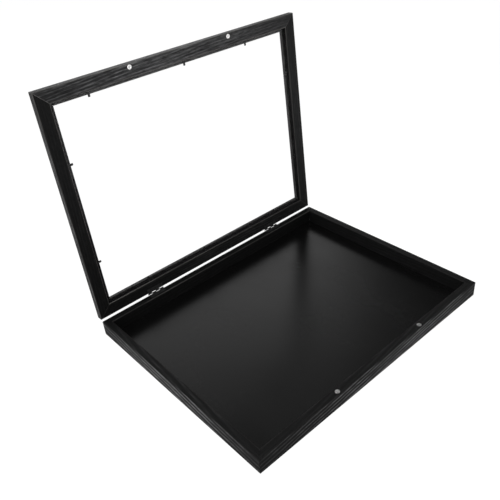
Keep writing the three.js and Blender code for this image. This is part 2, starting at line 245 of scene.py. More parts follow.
class ShapeTree:
    """A geometry tree with named size inputs, which ends realized and with its material."""

    def __init__(self, name: str, sizes: Sequence[str]) -> None:
        """Makes the tree and its inputs.

        Args:
            name: the tree's name.
            sizes: the names of its number inputs.
        """
        self.tree = bpy.data.node_groups.new(name, "GeometryNodeTree")
        self.steps = Steps(self.tree)
        interface = self.tree.interface
        interface.new_socket("Geometry", in_out="INPUT", socket_type="NodeSocketGeometry")
        for size in sizes:
            interface.new_socket(size, in_out="INPUT", socket_type="NodeSocketFloat")
        interface.new_socket("Material", in_out="INPUT", socket_type="NodeSocketMaterial")
        interface.new_socket("Geometry", in_out="OUTPUT", socket_type="NodeSocketGeometry")
        self.start = self.steps.add("NodeGroupInput")

    def size(self, name: str) -> Measure:
        """One of the tree's size inputs."""
        return Measure(self.steps, self.start.outputs[name])

    def finish(self, geometry: Socket) -> None:
        """Ends the tree with real geometry that carries the material.

        Args:
            geometry: the shape so far.
        """
        real = self.steps.add("GeometryNodeRealizeInstances", {"Geometry": geometry})
        dressed = self.steps.add(
            "GeometryNodeSetMaterial",
            {"Geometry": real.outputs[0], "Material": self.start.outputs["Material"]},
        )
        self.steps.add("NodeGroupOutput", {0: dressed.outputs[0]})

    def copies(self, piece: Socket, spin: Measure | None = None) -> Socket:
        """Sets a copy of a piece on each point, turned as the point's attribute says.

        Args:
            piece: the geometry to copy.
            spin: the most that a copy is turned about its own axis at random.

        Returns:
            The instances.
        """
        turn = self.steps.add(
            "GeometryNodeInputNamedAttribute", {"Name": TURN}, data_type="FLOAT_VECTOR"
        )
        placed = self.steps.add(
            "GeometryNodeInstanceOnPoints",
            {
                "Points": self.start.outputs["Geometry"],
                "Instance": piece,
                "Rotation": turn.outputs["Attribute"],
            },
        )
        if spin is None:
            return placed.outputs[0]
        chance = self.steps.add(
            "FunctionNodeRandomValue", {"Max": spin, "Seed": RANDOM_SEED}, data_type="FLOAT"
        )
        angles = self.steps.vector(z=chance.outputs["Value"])
        links = {"Instances": placed.outputs[0], "Rotation": angles}
        return self.steps.add("GeometryNodeRotateInstances", links).outputs[0]

    def moved(self, geometry: Socket, shift: Socket) -> Socket:
        """Geometry moved by a vector."""
        links = {"Geometry": geometry, "Translation": shift}
        return self.steps.add("GeometryNodeTransform", links).outputs[0]

    def weld(self, pieces: Sequence[Socket]) -> Socket:
        """Joins pieces of geometry and merges the points where they meet.

        Args:
            pieces: the pieces.

        Returns:
            The welded shape.
        """
        joined = self.steps.add("GeometryNodeJoinGeometry")
        for piece in pieces:
            self.steps.join(piece, joined.inputs[0])
        links = {"Geometry": joined.outputs[0], "Distance": WELD_DISTANCE}
        return self.steps.add("GeometryNodeMergeByDistance", links).outputs[0]

    def drawn_out(self, face: Socket, direction: Triple, length: Measure) -> Socket:
        """Makes a closed body by drawing a flat face out.

        Args:
            face: the face, which looks along the direction.
            direction: a unit vector.
            length: how far it is drawn.

        Returns:
            The body.
        """
        links = {"Mesh": face, "Offset": direction, "Offset Scale": length, "Individual": False}
        drawn = self.steps.add("GeometryNodeExtrudeMesh", links, mode="FACES")
        near_end = self.steps.add("GeometryNodeFlipFaces", {"Mesh": face})
        return self.weld([drawn.outputs["Mesh"], near_end.outputs[0]])

    def turned(self, outline: Sequence[tuple[Measure, Measure]], facets: int) -> Socket:
        """Makes a closed turned shape as a stack of open cones.

        Args:
            outline: [radius, height] points, read along the surface.
            facets: the number of facets round the turn.

        Returns:
            The welded shape.
        """
        rings = []
        for (low_radius, low), (high_radius, high) in zip(outline, outline[1:]):
            links = {
                "Vertices": facets,
                "Radius Bottom": low_radius,
                "Radius Top": high_radius,
                "Depth": high - low,
            }
            cone = self.steps.add("GeometryNodeMeshCone", links, fill_type="NONE")
            rings.append(self.moved(cone.outputs["Mesh"], self.steps.vector(z=low)))
        return self.weld(rings)


def box_mesh(low: Sequence[float], high: Sequence[float]) -> Mesh:
    """A plain block, used as a cutting tool.

    Args:
        low: its lowest corner.
        high: its highest corner.

    Returns:
        The mesh.
    """
    tool = bmesh.new()
    bmesh.ops.create_cube(tool, size=1.0)
    size = [top - bottom for bottom, top in zip(low, high)]
    middle = [(top + bottom) / 2 for bottom, top in zip(low, high)]
    bmesh.ops.scale(tool, vec=size, verts=tool.verts)
    return tool_mesh(tool, middle)


def disc_mesh(radius: float, centre: Sequence[float], depth: float, facets: int = 48) -> Mesh:
    """A round plug about Z, used as a cutting tool.

    Args:
        radius: its radius.
        centre: its middle.
        depth: its height.
        facets: the number of facets round it.

    Returns:
        The mesh.
    """
    tool = bmesh.new()
    bmesh.ops.create_cone(
        tool, cap_ends=True, segments=facets, radius1=radius, radius2=radius, depth=depth
    )
    return tool_mesh(tool, centre)


def tool_mesh(shape: bmesh.types.BMesh, middle: Sequence[float]) -> Mesh:
    """Moves a closed working mesh to its place and stores it with its faces pointing outwards.

    Args:
        shape: the working mesh, about the origin.
        middle: where its middle goes.

    Returns:
        The stored mesh.
    """
    bmesh.ops.translate(shape, vec=middle, verts=shape.verts)
    bmesh.ops.recalc_face_normals(shape, faces=shape.faces)
    return to_mesh(shape, "cutting_tool")


def to_mesh(shape: bmesh.types.BMesh, name: str) -> Mesh:
    """Turns a working mesh into a stored one.

    Args:
        shape: the working mesh, which is freed.
        name: the stored mesh's name.

    Returns:
        The stored mesh.
    """
    mesh = bpy.data.meshes.new(name)
    shape.to_mesh(mesh)
    shape.free()
    return mesh


def smooth(mesh: Mesh, sharp_angle: float) -> Mesh:
    """Shades a mesh smooth, apart from its sharp edges.

    Args:
        mesh: the mesh.
        sharp_angle: the angle past which an edge stays sharp, in radians.

    Returns:
        The same mesh.
    """
    mesh.shade_smooth()
    mesh.set_sharp_from_angle(angle=sharp_angle)
    return mesh


def add_object(name: str, content: Mesh | bpy.types.Light | bpy.types.Camera) -> bpy.types.Object:
    """Puts a mesh, a lamp or a camera in the scene.

    Args:
        name: the object's name.
        content: what it holds.

    Returns:
        The object.
    """
    thing = bpy.data.objects.new(name, content)
    bpy.context.scene.collection.objects.link(thing)
    return thing


def evaluated_mesh(thing: bpy.types.Object) -> Mesh:
    """Works out what an object's modifiers give.

    Args:
        thing: the object.

    Returns:
        The plain mesh.
    """
    graph = bpy.context.evaluated_depsgraph_get()
    graph.update()
    return bpy.data.meshes.new_from_object(thing.evaluated_get(graph), depsgraph=graph)


def carve(mesh: Mesh, tools: Sequence[Mesh]) -> Mesh:
    """Cuts a mesh with others.

    Args:
        mesh: what is cut.
        tools: the closed meshes taken away from it.

    Returns:
        What is left.
    """
    if not tools:
        return mesh
    blank = add_object("blank", mesh)
    cutters = [add_object("cutter", tool) for tool in tools]
    for cutter in cutters:
        cut = blank.modifiers.new("cut", "BOOLEAN")
        cut.operation = "DIFFERENCE"
        cut.solver = "EXACT"
        cut.object = cutter
    result = evaluated_mesh(blank)
    for thing in (blank, *cutters):
        bpy.data.objects.remove(thing)
    return result


def run_tree(mesh: Mesh, shape: ShapeTree, inputs: Links) -> Mesh:
    """Runs a geometry tree on a mesh.

    Args:
        mesh: the geometry that goes into the tree.
        shape: the tree.
        inputs: a value for each of the tree's named inputs.

    Returns:
        The plain mesh that comes out.
    """
    carrier = add_object("carrier", mesh)
    modifier = carrier.modifiers.new("shape", "NODES")
    modifier.node_group = shape.tree
    for item in shape.tree.interface.items_tree:
        if item.in_out == "INPUT" and item.name in inputs:
            modifier[item.identifier] = inputs[item.name]
    result = evaluated_mesh(carrier)
    bpy.data.objects.remove(carrier)
    return result


def show_piece(
    name: str, mesh: Mesh, finishes: Finishes, slot: Slot, body: Body, replaced: Sequence[str]
) -> None:
    """Puts a finished piece in the scene and ties it to the frame.

    Args:
        name: the piece's name.
        mesh: its mesh, already in place.
        finishes: the material of each slot.
        slot: the piece's slot.
        body: the body that it rides on.
        replaced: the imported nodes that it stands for.
    """
    mesh.materials.clear()
    mesh.materials.append(finishes[slot])
    piece = add_object(name, mesh)
    mesh.name = name
    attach(piece, body.value)
    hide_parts(*replaced)
    LOG.info("%s: %d faces on %s", name, len(mesh.polygons), body.value)


def dress_node(name: str, finish: Material) -> None:
    """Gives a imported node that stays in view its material.

    Args:
        name: the node.
        finish: the material.
    """
    node = frame["nodes"][name]
    node.data.materials.clear()
    node.data.materials.append(finish)
    LOG.info("%s: packed node, %s", name, finish.name)


@dataclass(frozen=True)
class Noise:
    """A pattern of noise, with values about 0.5.

    Attributes:
        scale: how many features there are in a metre along each axis.
        detail: the number of finer layers.
        rough: how strong the finer layers are.
    """

    scale: Triple
    detail: float = 2.0
    rough: float = 0.5


@dataclass(frozen=True)
class Span:
    """A move of a value from one range to another, which it doesn't leave.

    Attributes:
        low: where the first range starts.
        high: where the first range ends.
        start: the result at low.
        end: the result at high.
    """

    low: float
    high: float
    start: float
    end: float


@dataclass(frozen=True)
class Pattern:
    """Noise whose values are then moved by a span."""

    noise: Noise
    span: Span


def greys(levels: Sequence[Pair]) -> Stops:
    """The stops of a ramp of greys, from (place, level) pairs in rising order."""
    return [(place, (level, level, level)) for place, level in levels]


class ShadeSteps:
    """The steps that materials and the surroundings share.

    Sockets go by number where a node has several of one name. A Mix node takes numbers at inputs
    2 and 3 and gives one at output 0. It takes colours at inputs 6 and 7, and gives one at 2.
    """

    def __init__(self, tree: bpy.types.NodeTree) -> None:
        """Keeps the tree that is being built."""
        self.steps = Steps(tree)

    def math(
        self, operation: str, first: object, second: object = 0.0, clamp: bool = False
    ) -> Socket:
        """Joins two values by a Math node.

        Args:
            operation: what the node does.
            first: another node's output or a plain value.
            second: the same.
            clamp: whether the result is kept between 0 and 1.

        Returns:
            The result.
        """
        links = {0: first, 1: second}
        node = self.steps.add("ShaderNodeMath", links, operation=operation, use_clamp=clamp)
        return node.outputs[0]

    def product(self, *values: object) -> Socket:
        """The product of all the values."""
        return reduce(lambda so_far, value: self.math("MULTIPLY", so_far, value), values)

    def total(self, *values: object) -> Socket:
        """The sum of all the values."""
        return reduce(lambda so_far, value: self.math("ADD", so_far, value), values)

    def parts(self, vector: Socket) -> Sequence[Socket]:
        """The three parts of a vector."""
        return self.steps.add("ShaderNodeSeparateXYZ", {0: vector}).outputs[:3]

    def noise(self, place: Socket, noise: Noise) -> Socket:
        """Reads a pattern of noise.

        Args:
            place: the place in it, in metres.
            noise: the pattern.

        Returns:
            Its value.
        """
        mapping = {"Vector": place, "Scale": noise.scale}
        scaled = self.steps.add("ShaderNodeMapping", mapping, vector_type="POINT").outputs[0]
        links = {"Vector": scaled, "Scale": 1.0, "Detail": noise.detail, "Roughness": noise.rough}
        return self.steps.add("ShaderNodeTexNoise", links).outputs[0]

    def span(self, value: object, span: Span) -> Socket:
        """The value moved by a span."""
        links = {0: value, 1: span.low, 2: span.high, 3: span.start, 4: span.end}
        return self.steps.add("ShaderNodeMapRange", links, clamp=True).outputs[0]

    def pattern(self, place: Socket, pattern: Pattern) -> Socket:
        """The value of a pattern at a place."""
        return self.span(self.noise(place, pattern.noise), pattern.span)

    def ramp(self, value: object, stops: Stops) -> Socket:
        """Looks up a colour from a value.

        Args:
            value: the value.
            stops: (place, colour) pairs in rising order.

        Returns:
            The colour.
        """
        node = self.steps.add("ShaderNodeValToRGB", {0: value})
        elements = node.color_ramp.elements
        while len(elements) < len(stops):
            elements.new(1.0)
        for element, (place, colour) in zip(elements, stops):
            element.position = place
            element.color = (*colour, 1.0)
        return node.outputs[0]

    def mix(self, share: object, first: object, second: object) -> Socket:
        """A number that goes from the first value to the second as the share goes from 0 to 1."""
        return self.steps.add("ShaderNodeMix", {0: share, 2: first, 3: second}).outputs[0]

    def mix_colours(self, share: object, first: object, second: object) -> Socket:
        """A colour that goes from the first to the second as the share goes from 0 to 1."""
        links = {0: share, 6: first, 7: second}
        return self.steps.add("ShaderNodeMix", links, data_type="RGBA").outputs[2]

    def mix_shaders(self, share: Socket, first: Socket, second: Socket) -> Socket:
        """A surface that goes from the first to the second as the share goes from 0 to 1."""
        return self.steps.add("ShaderNodeMixShader", {0: share, 1: first, 2: second}).outputs[0]

    def bump(self, height: Socket, distance: float) -> Socket:
        """The normal of a surface that a height of 1 raises by the distance."""
        links = {"Height": height, "Distance": distance, "Strength": 1.0}
        return self.steps.add("ShaderNodeBump", links).outputs[0]

    @property
    def rays(self) -> bpy.types.bpy_prop_collection:
        """The outputs that tell what kind of ray meets the surface."""
        return self.steps.add("ShaderNodeLightPath").outputs

    def direct_ray(self) -> Socket:
        """1 for a ray from the camera, also through the glazing, and 0 for others."""
        rays = self.rays
        return self.math("MAXIMUM", rays["Is Camera Ray"], rays["Is Transmission Ray"])

    def mirror_ray(self) -> Socket:
        """1 for a ray that a shiny surface mirrors, and 0 for others."""
        rays = self.rays
        return self.math("SUBTRACT", rays["Is Glossy Ray"], rays["Is Transmission Ray"], clamp=True)


class Finish(ShadeSteps):
    """A material made of nodes, with a principled shader at its end."""

    def __init__(self, name: str) -> None:
        """Makes an empty material.

        Args:
            name: the material's name.
        """
        self.material = bpy.data.materials.new(name)
        self.material.use_nodes = True
        super().__init__(self.material.node_tree)
        self.shader = self.material.node_tree.nodes["Principled BSDF"]
        self.output = self.material.node_tree.nodes["Material Output"]

    def set(self, name: str, value: object) -> None:
        """Sets one of the shader's inputs, from a plain value or another node's output."""
        self.steps.join(value, self.shader.inputs[name])

    def end_with(self, surface: Socket) -> None:
        """Ends the material with another surface than the principled shader."""
        self.steps.join(surface, self.output.inputs["Surface"])

    @property
    def place(self) -> Socket:
        """The place on the object, in metres."""
        return self.steps.add("ShaderNodeTexCoord").outputs["Object"]


@dataclass(frozen=True)
class Figure:
    """How one rail's board was sawn and how it took the stain, and the light and shade painted on
    it.

    A pair of values holds at the rail's start and at its end, and changes evenly between them.
    The strengths differ from rail to rail and along a rail as painted light and shade: where more
    light falls, the figure is painted paler.

    Attributes:
        seed: how far its grain is shifted, so that no two rails are alike.
        slope: how far its growth rings climb for each metre along it.
        faces: how strongly the pale early wood shows on its faces, which is partly painted sheen.
        edges: how strongly it shows on its figured edges, which is partly painted sheen.
        rub_and_highlight: how far its rounded corners are rubbed, and how bright their painted
            highlights are.
        plain: the share of the pale wood that shows as an even tone and not as lines.
        That even tone is partly painted sheen.
        ring_spacing: how far apart its growth rings are.
        mitre_bare_and_highlight: how much bare wood and painted highlight shows in the lines of its
            mitres.
    """

    seed: float
    slope: float
    faces: Pair
    edges: Pair
    rub_and_highlight: Pair = (1.0, 1.0)
    plain: Pair = (0.0, 0.0)
    ring_spacing: float = 5.4 * MM
    mitre_bare_and_highlight: Pair = (0.0, 0.0)


def between(pair: Pair, share: float) -> float:
    """The value at a share of the way from the first of a pair to the second."""
    return pair[0] + (pair[1] - pair[0]) * share


@dataclass(frozen=True)
class GrowthRings:
    """The growth rings of a board, which run nearly along it and waver.

    Attributes:
        lean: how much deeper a point lies for its inset and for its height.
        broad_noise: the pattern of the rings' long bends.
        broad_waver: how far they bend.
        fine_noise: the pattern of their short bends.
        fine_waver: how far they bend there.
        rise: how the pale wood starts, in shares of a ring.
        fall: how it ends.
    """

    lean: Pair = (0.72, 0.69)
    broad_noise: Noise = Noise((3.4, 7.0, 7.0), detail=1.0)
    broad_waver: float = 12 * MM
    fine_noise: Noise = Noise((7.0, 90.0, 90.0))
    fine_waver: float = 3.0 * MM
    rise: Span = Span(0.26, 0.4, 0.0, 1.0)
    fall: Span = Span(0.64, 0.78, 1.0, 0.0)

    def draw(
        self, finish: Finish, grain: Socket, shifted: Socket, slope: Socket, spacing: Socket
    ) -> Socket:
        """Draws the rings.

        Args:
            finish: the material that they belong to.
            grain: the place in the rail, as along, inset and height.
            shifted: the same place, shifted by the rail's seed.
            slope: how far the rings climb across the rail for each metre along it.
            spacing: how far apart they are.

        Returns:
            1 on the pale wood and 0 on the dark.
        """
        along, inset, height = finish.parts(grain)
        bends = []
        for noise, waver in (
            (self.broad_noise, self.broad_waver),
            (self.fine_noise, self.fine_waver),
        ):
            bend = finish.math("SUBTRACT", finish.noise(shifted, noise), NOISE_MIDDLE)
            bends.append(finish.product(bend, waver))
        depth = finish.total(
            finish.product(inset, self.lean[0]),
            finish.product(height, self.lean[1]),
            finish.product(along, slope),
            *bends,
        )
        turn = finish.math("FRACT", finish.math("DIVIDE", depth, spacing))
        return finish.product(finish.span(turn, self.rise), finish.span(turn, self.fall))


@dataclass(frozen=True)
class BlackStainedWood:
    """Black stained, open-grained wood, which reads each rail's own attributes.

    Its pale figure is partly painted sheen, and its bare places are partly painted highlights.

    Attributes:
        rings: the growth rings.
        pores: the open pores.
        fibres: the finest fibres.
        patches: where the rings stand out.
        patch_fade: how they fade towards the ends of a rail.
        gap_tone: the tone where the rings don't stand out.
        even_tone: the tone of a plain board.
        stain_fade: how the stain darkens towards the ends of a rail.
        streaks: long darker streaks.
        flecks: short darker flecks.
        fibre_tone: how much the fibres lighten the wood.
        pore_tone: how much the pores darken it.
        dark: the colour of the darkest wood.
        pale: the colour of the palest, which also paints the grain's sheen.
        bare: the colour where the stain is rubbed off, which also paints highlights.
        rub_and_highlight_share: how bare a worn corner gets, with its painted highlight.
        mitre_line: how far from a mitre bare wood and a painted highlight show.
        mitre_core_share: the share of that which is fully bare.
        rubbed: how rubbed places and their painted highlights are broken up.
        relief: how deep the grain is.
        ring_relief: the rings' share of that, on a figured and on a plain board.
        fibre_relief_share: the fibres' share.
        pore_relief_share: the pores' share.
        roughness: how rough the plain stain is.
        pore_roughness: how much rougher it is in a pore.
        figure_roughness: how much smoother it is on pale wood.
        gloss: how strongly it mirrors.
    """

    rings: GrowthRings = GrowthRings()
    pores: Pattern = Pattern(Noise((22.0, 700.0, 700.0), 3.0, 0.6), Span(0.48, 0.66, 0.0, 1.0))
    fibres: Noise = Noise((70.0, 2400.0, 2400.0), 2.0, 0.6)
    patches: Pattern = Pattern(Noise((5.0, 30.0, 30.0), 3.0), Span(0.36, 0.56, 0.65, 1.0))
    patch_fade: Span = Span(0.5, 0.95, 1.0, 0.8)
    gap_tone: float = 0.12
    even_tone: float = 0.28
    stain_fade: Span = Span(0.25, 0.95, 1.0, 0.4)
    streaks: Pattern = Pattern(Noise((7.0, 190.0, 190.0), 3.0), Span(0.35, 0.65, 0.4, 1.0))
    flecks: Pattern = Pattern(Noise((50.0, 280.0, 280.0), 2.0, 0.6), Span(0.36, 0.6, 0.38, 1.0))
    fibre_tone: Span = Span(0.3, 0.75, 0.0, 0.02)
    pore_tone: Span = Span(0.0, 1.0, 1.0, 0.35)
    dark: Triple = (0.0016, 0.0016, 0.0016)
    pale: Triple = (0.46, 0.46, 0.4692)
    bare: Triple = (0.2, 0.194, 0.186)
    rub_and_highlight_share: float = 0.3
    mitre_line: float = 1.3 * MM
    mitre_core_share: float = 0.3
    rubbed: Pattern = Pattern(Noise((6.0, 40.0, 40.0), 3.0), Span(0.38, 0.62, 0.4, 1.0))
    relief: float = 0.1 * MM
    ring_relief: Span = Span(0.0, 1.0, 0.3, 0.0)
    fibre_relief_share: float = 0.5
    pore_relief_share: float = 0.5
    roughness: float = 0.48
    pore_roughness: float = 0.2
    figure_roughness: float = 0.1
    gloss: float = 0.12

    def make(self) -> Material:
        """Builds the material.

        Returns:
            The material.
        """
        finish = Finish("black_stained_wood")
        steps = finish.steps
        grain, rail, look, board = (
            steps.add("ShaderNodeAttribute", attribute_name=name).outputs["Vector"]
            for name in (GRAIN, RAIL, LOOK_AND_LIGHT, BOARD)
        )
        half_length, seed, slope = finish.parts(rail)
        # The look attribute carries painted light: the wear paints highlights on the rounded
        # corners, the figure's strength paints sheen, and the mitre share paints highlights along
        # the mitres
        wear, figure_and_sheen, mitre_bare_and_highlight_share = finish.parts(look)
        ring_spacing, plain, _ = finish.parts(board)
        along, inset, _ = finish.parts(grain)
        off_middle = finish.math("ABSOLUTE", along)
        shifted = {0: grain, 1: steps.vector(seed, seed, seed)}
        place = steps.add("ShaderNodeVectorMath", shifted, operation="ADD").outputs[0]

        rings = self.rings.draw(finish, grain, place, slope, ring_spacing)
        pores = finish.pattern(place, self.pores)
        fibres = finish.noise(place, self.fibres)
        end_share = finish.math("DIVIDE", off_middle, half_length)
        patches = finish.product(
            finish.pattern(place, self.patches), finish.span(end_share, self.patch_fade)
        )
        lines = finish.mix(plain, finish.mix(patches, self.gap_tone, rings), self.even_tone)
        figure = finish.product(lines, finish.span(end_share, self.stain_fade), figure_and_sheen)
        tone = finish.product(
            figure, finish.pattern(place, self.streaks), finish.pattern(place, self.flecks)
        )
        tone = finish.total(tone, finish.span(fibres, self.fibre_tone))
        tone = finish.product(tone, finish.span(pores, self.pore_tone))
        colour = finish.ramp(tone, [(0.0, self.dark), (1.0, self.pale)])

        # Bare wood and a painted highlight along the lines of the mitres
        to_mitre = finish.math("SUBTRACT", finish.math("SUBTRACT", half_length, off_middle), inset)
        core = self.mitre_core_share * self.mitre_line
        mitre_bare_and_highlight = finish.product(
            finish.span(to_mitre, Span(core, self.mitre_line, 1.0, 0.0)), mitre_bare_and_highlight_share
        )
        # Bare wood and painted highlights along the rounded corners, joined with those along the
        # mitres
        rubbed = finish.math("MAXIMUM", mitre_bare_and_highlight, finish.product(wear, self.rub_and_highlight_share))
        rubbed = finish.product(rubbed, finish.pattern(place, self.rubbed))
        finish.set("Base Color", finish.mix_colours(rubbed, colour, (*self.bare, 1.0)))

        carved = finish.product(rings, finish.span(plain, self.ring_relief))
        rise = finish.total(finish.product(fibres, self.fibre_relief_share), carved)
        rise = finish.math("SUBTRACT", rise, finish.product(pores, self.pore_relief_share))
        finish.set("Normal", finish.bump(rise, self.relief))
        rough = finish.total(finish.product(pores, self.pore_roughness), self.roughness)
        smoother = finish.product(figure, self.figure_roughness)
        finish.set("Roughness", finish.math("SUBTRACT", rough, smoother))
        finish.set("Specular IOR Level", self.gloss)
        return finish.material


@dataclass(frozen=True)
class SatinBoard:
    """The smooth black facing of the back panel, which mirrors the lid softly.

    Attributes:
        ripple: the pattern of its shallow ripples.
        ripple_depth: how deep they are.
        speck: the pattern of its fine specks.
        speck_levels: their greys.
        speck_roughness: how much rougher they are.
        clouds: the broad changes of its roughness.
    """

    ripple: Noise = Noise((160.0, 160.0, 160.0))
    ripple_depth: float = 0.012 * MM
    speck: Noise = Noise((1500.0, 1500.0, 1500.0), detail=1.0)
    speck_levels: tuple[Pair, ...] = ((0.3, 0.0022), (0.8, 0.00396))
    speck_roughness: float = 0.03
    clouds: Pattern = Pattern(Noise((7.0, 5.0, 7.0), detail=3.0), Span(0.3, 0.7, 0.22, 0.27))

    def make(self) -> Material:
        """Builds the material.

        Returns:
            The material.
        """
        finish = Finish("satin_black_board")
        speck = finish.noise(finish.place, self.speck)
        finish.set("Base Color", finish.ramp(speck, greys(self.speck_levels)))
        rough = finish.total(
            finish.pattern(finish.place, self.clouds), finish.product(speck, self.speck_roughness)
        )
        finish.set("Roughness", rough)
        ripple = finish.noise(finish.place, self.ripple)
        finish.set("Normal", finish.bump(ripple, self.ripple_depth))
        return finish.material


@dataclass(frozen=True)
class ClearAcrylic:
    """The clear glazing, with a faint haze of fine rubbing marks.

    Light goes through it nearly unbent, because a sheet that bends it as much as acrylic does
    shows a bright band along its edges, which the real one doesn't show. Its shine comes from a
    coat. Shadows, scattered light and what other surfaces mirror pass as if it weren't there.

    Attributes:
        colour: what it lets through.
        haze: its roughness, which is a little greater where it has been rubbed.
        bending: its index of refraction.
        gloss: how strongly it mirrors under its coat.
        coat_share: how much of the coat shows.
        coat_roughness: how soft the coat's mirror images are.
        coat_bending: the coat's index, which sets how bright they are.
    """

    colour: Triple = WHITE
    haze: Pattern = Pattern(
        Noise((45.0, 45.0, 45.0), detail=4.0, rough=0.65), Span(0.45, 0.8, 0.278, 0.282)
    )
    bending: float = 1.012
    gloss: float = 0.04
    coat_share: float = 0.5
    coat_roughness: float = 0.12
    coat_bending: float = 1.35

    def make(self) -> Material:
        """Builds the material.

        Returns:
            The material.
        """
        finish = Finish("clear_acrylic")
        colour = (*self.colour, 1.0)
        finish.set("Base Color", colour)
        finish.set("Roughness", finish.pattern(finish.place, self.haze))
        finish.set("IOR", self.bending)
        finish.set("Specular IOR Level", self.gloss)
        finish.set("Coat Weight", self.coat_share)
        finish.set("Coat Roughness", self.coat_roughness)
        finish.set("Coat IOR", self.coat_bending)
        finish.set("Transmission Weight", 1.0)
        rays = finish.rays
        passing = finish.math("MAXIMUM", rays["Is Shadow Ray"], rays["Is Diffuse Ray"])
        passing = finish.math("MAXIMUM", passing, finish.mirror_ray())
        clear = finish.steps.add("ShaderNodeBsdfTransparent", {"Color": colour}).outputs[0]
        finish.end_with(finish.mix_shaders(passing, finish.shader.outputs[0], clear))
        return finish.material


@dataclass(frozen=True)
class PlatedMetal:
    """Bare or plated metal with fine scratches and slightly dulled patches.

    Attributes:
        name: the material's name.
        colour: its colour where it is clean.
        roughness: its roughness there.
        dulled_share: how bright a dulled patch is, as a share of the clean colour.
        dulled_roughness: how much rougher a dulled patch is.
        patches: the pattern of the dulled patches.
        colour_range: the noise from which the colour changes, and up to which.
        roughness_range: the same for the roughness.
        scratches: the pattern of the scratches.
        scratch_depth: how deep they are.
    """

    name: str
    colour: Triple
    roughness: float
    dulled_share: float = 0.72
    dulled_roughness: float = 0.1
    patches: Noise = Noise((190.0, 190.0, 190.0), detail=3.0)
    colour_range: Pair = (0.3, 0.62)
    roughness_range: Pair = (0.3, 0.7)
    scratches: Noise = Noise((300.0, 4200.0, 4200.0))
    scratch_depth: float = 0.01 * MM

    def make(self) -> Material:
        """Builds the material.

        Returns:
            The material.
        """
        finish = Finish(self.name)
        patches = finish.noise(finish.place, self.patches)
        dulled = tuple(part * self.dulled_share for part in self.colour)
        colours = list(zip(self.colour_range, (dulled, self.colour)))
        finish.set("Base Color", finish.ramp(patches, colours))
        finish.set("Metallic", 1.0)
        rough = Span(*self.roughness_range, self.roughness + self.dulled_roughness, self.roughness)
        finish.set("Roughness", finish.span(patches, rough))
        scratches = finish.noise(finish.place, self.scratches)
        finish.set("Normal", finish.bump(scratches, self.scratch_depth))
        return finish.material


@dataclass(frozen=True)
class BlackCoatedSteel:
    """Black coated steel, with the coat's fine texture and bright rubbed spots.

    Attributes:
        coat: the pattern of the coat's texture.
        coat_depth: how deep it is.
        coat_roughness: how the roughness follows it.
        spots: the pattern of the rubbed spots.
        spot_levels: the greys of the coat and of the spots.
        spot_metal: how metallic the spots are.
    """

    coat: Noise = Noise((2400.0, 2400.0, 2400.0))
    coat_depth: float = 0.01 * MM
    coat_roughness: Span = Span(0.3, 0.7, 0.32, 0.48)
    spots: Noise = Noise((330.0, 330.0, 330.0), detail=3.0)
    spot_levels: tuple[Pair, ...] = ((0.45, 0.012), (0.8, 0.048))
    spot_metal: Span = Span(0.55, 0.75, 0.0, 0.7)

    def make(self) -> Material:
        """Builds the material.

        Returns:
            The material.
        """
        finish = Finish("black_coated_steel")
        coat = finish.noise(finish.place, self.coat)
        spots = finish.noise(finish.place, self.spots)
        finish.set("Base Color", finish.ramp(spots, greys(self.spot_levels)))
        finish.set("Metallic", finish.span(spots, self.spot_metal))
        finish.set("Roughness", finish.span(coat, self.coat_roughness))
        finish.set("Normal", finish.bump(coat, self.coat_depth))
        return finish.material


def make_finishes() -> Finishes:
    """Makes every material of the case, once.

    Returns:
        The material of each slot.
    """
    finishes = {
        Slot.WOOD: BlackStainedWood(),
        Slot.BOARD: SatinBoard(),
        Slot.ACRYLIC: ClearAcrylic(),
        Slot.NICKEL: PlatedMetal(
            "nickel_plate", colour=(0.98, 0.97, 0.96), roughness=0.22, dulled_share=0.92
        ),
        Slot.ZINC: PlatedMetal("bright_zinc", colour=(0.72, 0.73, 0.74), roughness=0.3),
        Slot.BLACK_STEEL: BlackCoatedSteel(),
    }
    return {slot: finish.make() for slot, finish in finishes.items()}


def arris(centre: Point, radius: float, start: float, facets: int = 6) -> list[Point]:
    """A rounded corner of a section.

    Args:
        centre: the middle of the rounding.
        radius: its radius.
        start: the angle at which it starts. It turns clockwise by a quarter.
        facets: the number of facets.

    Returns:
        The corner's points.
    """
    angles = [start - step / facets * math.pi / 2 for step in range(facets + 1)]
    return [(centre[0] + radius * math.cos(a), centre[1] + radius * math.sin(a)) for a in angles]


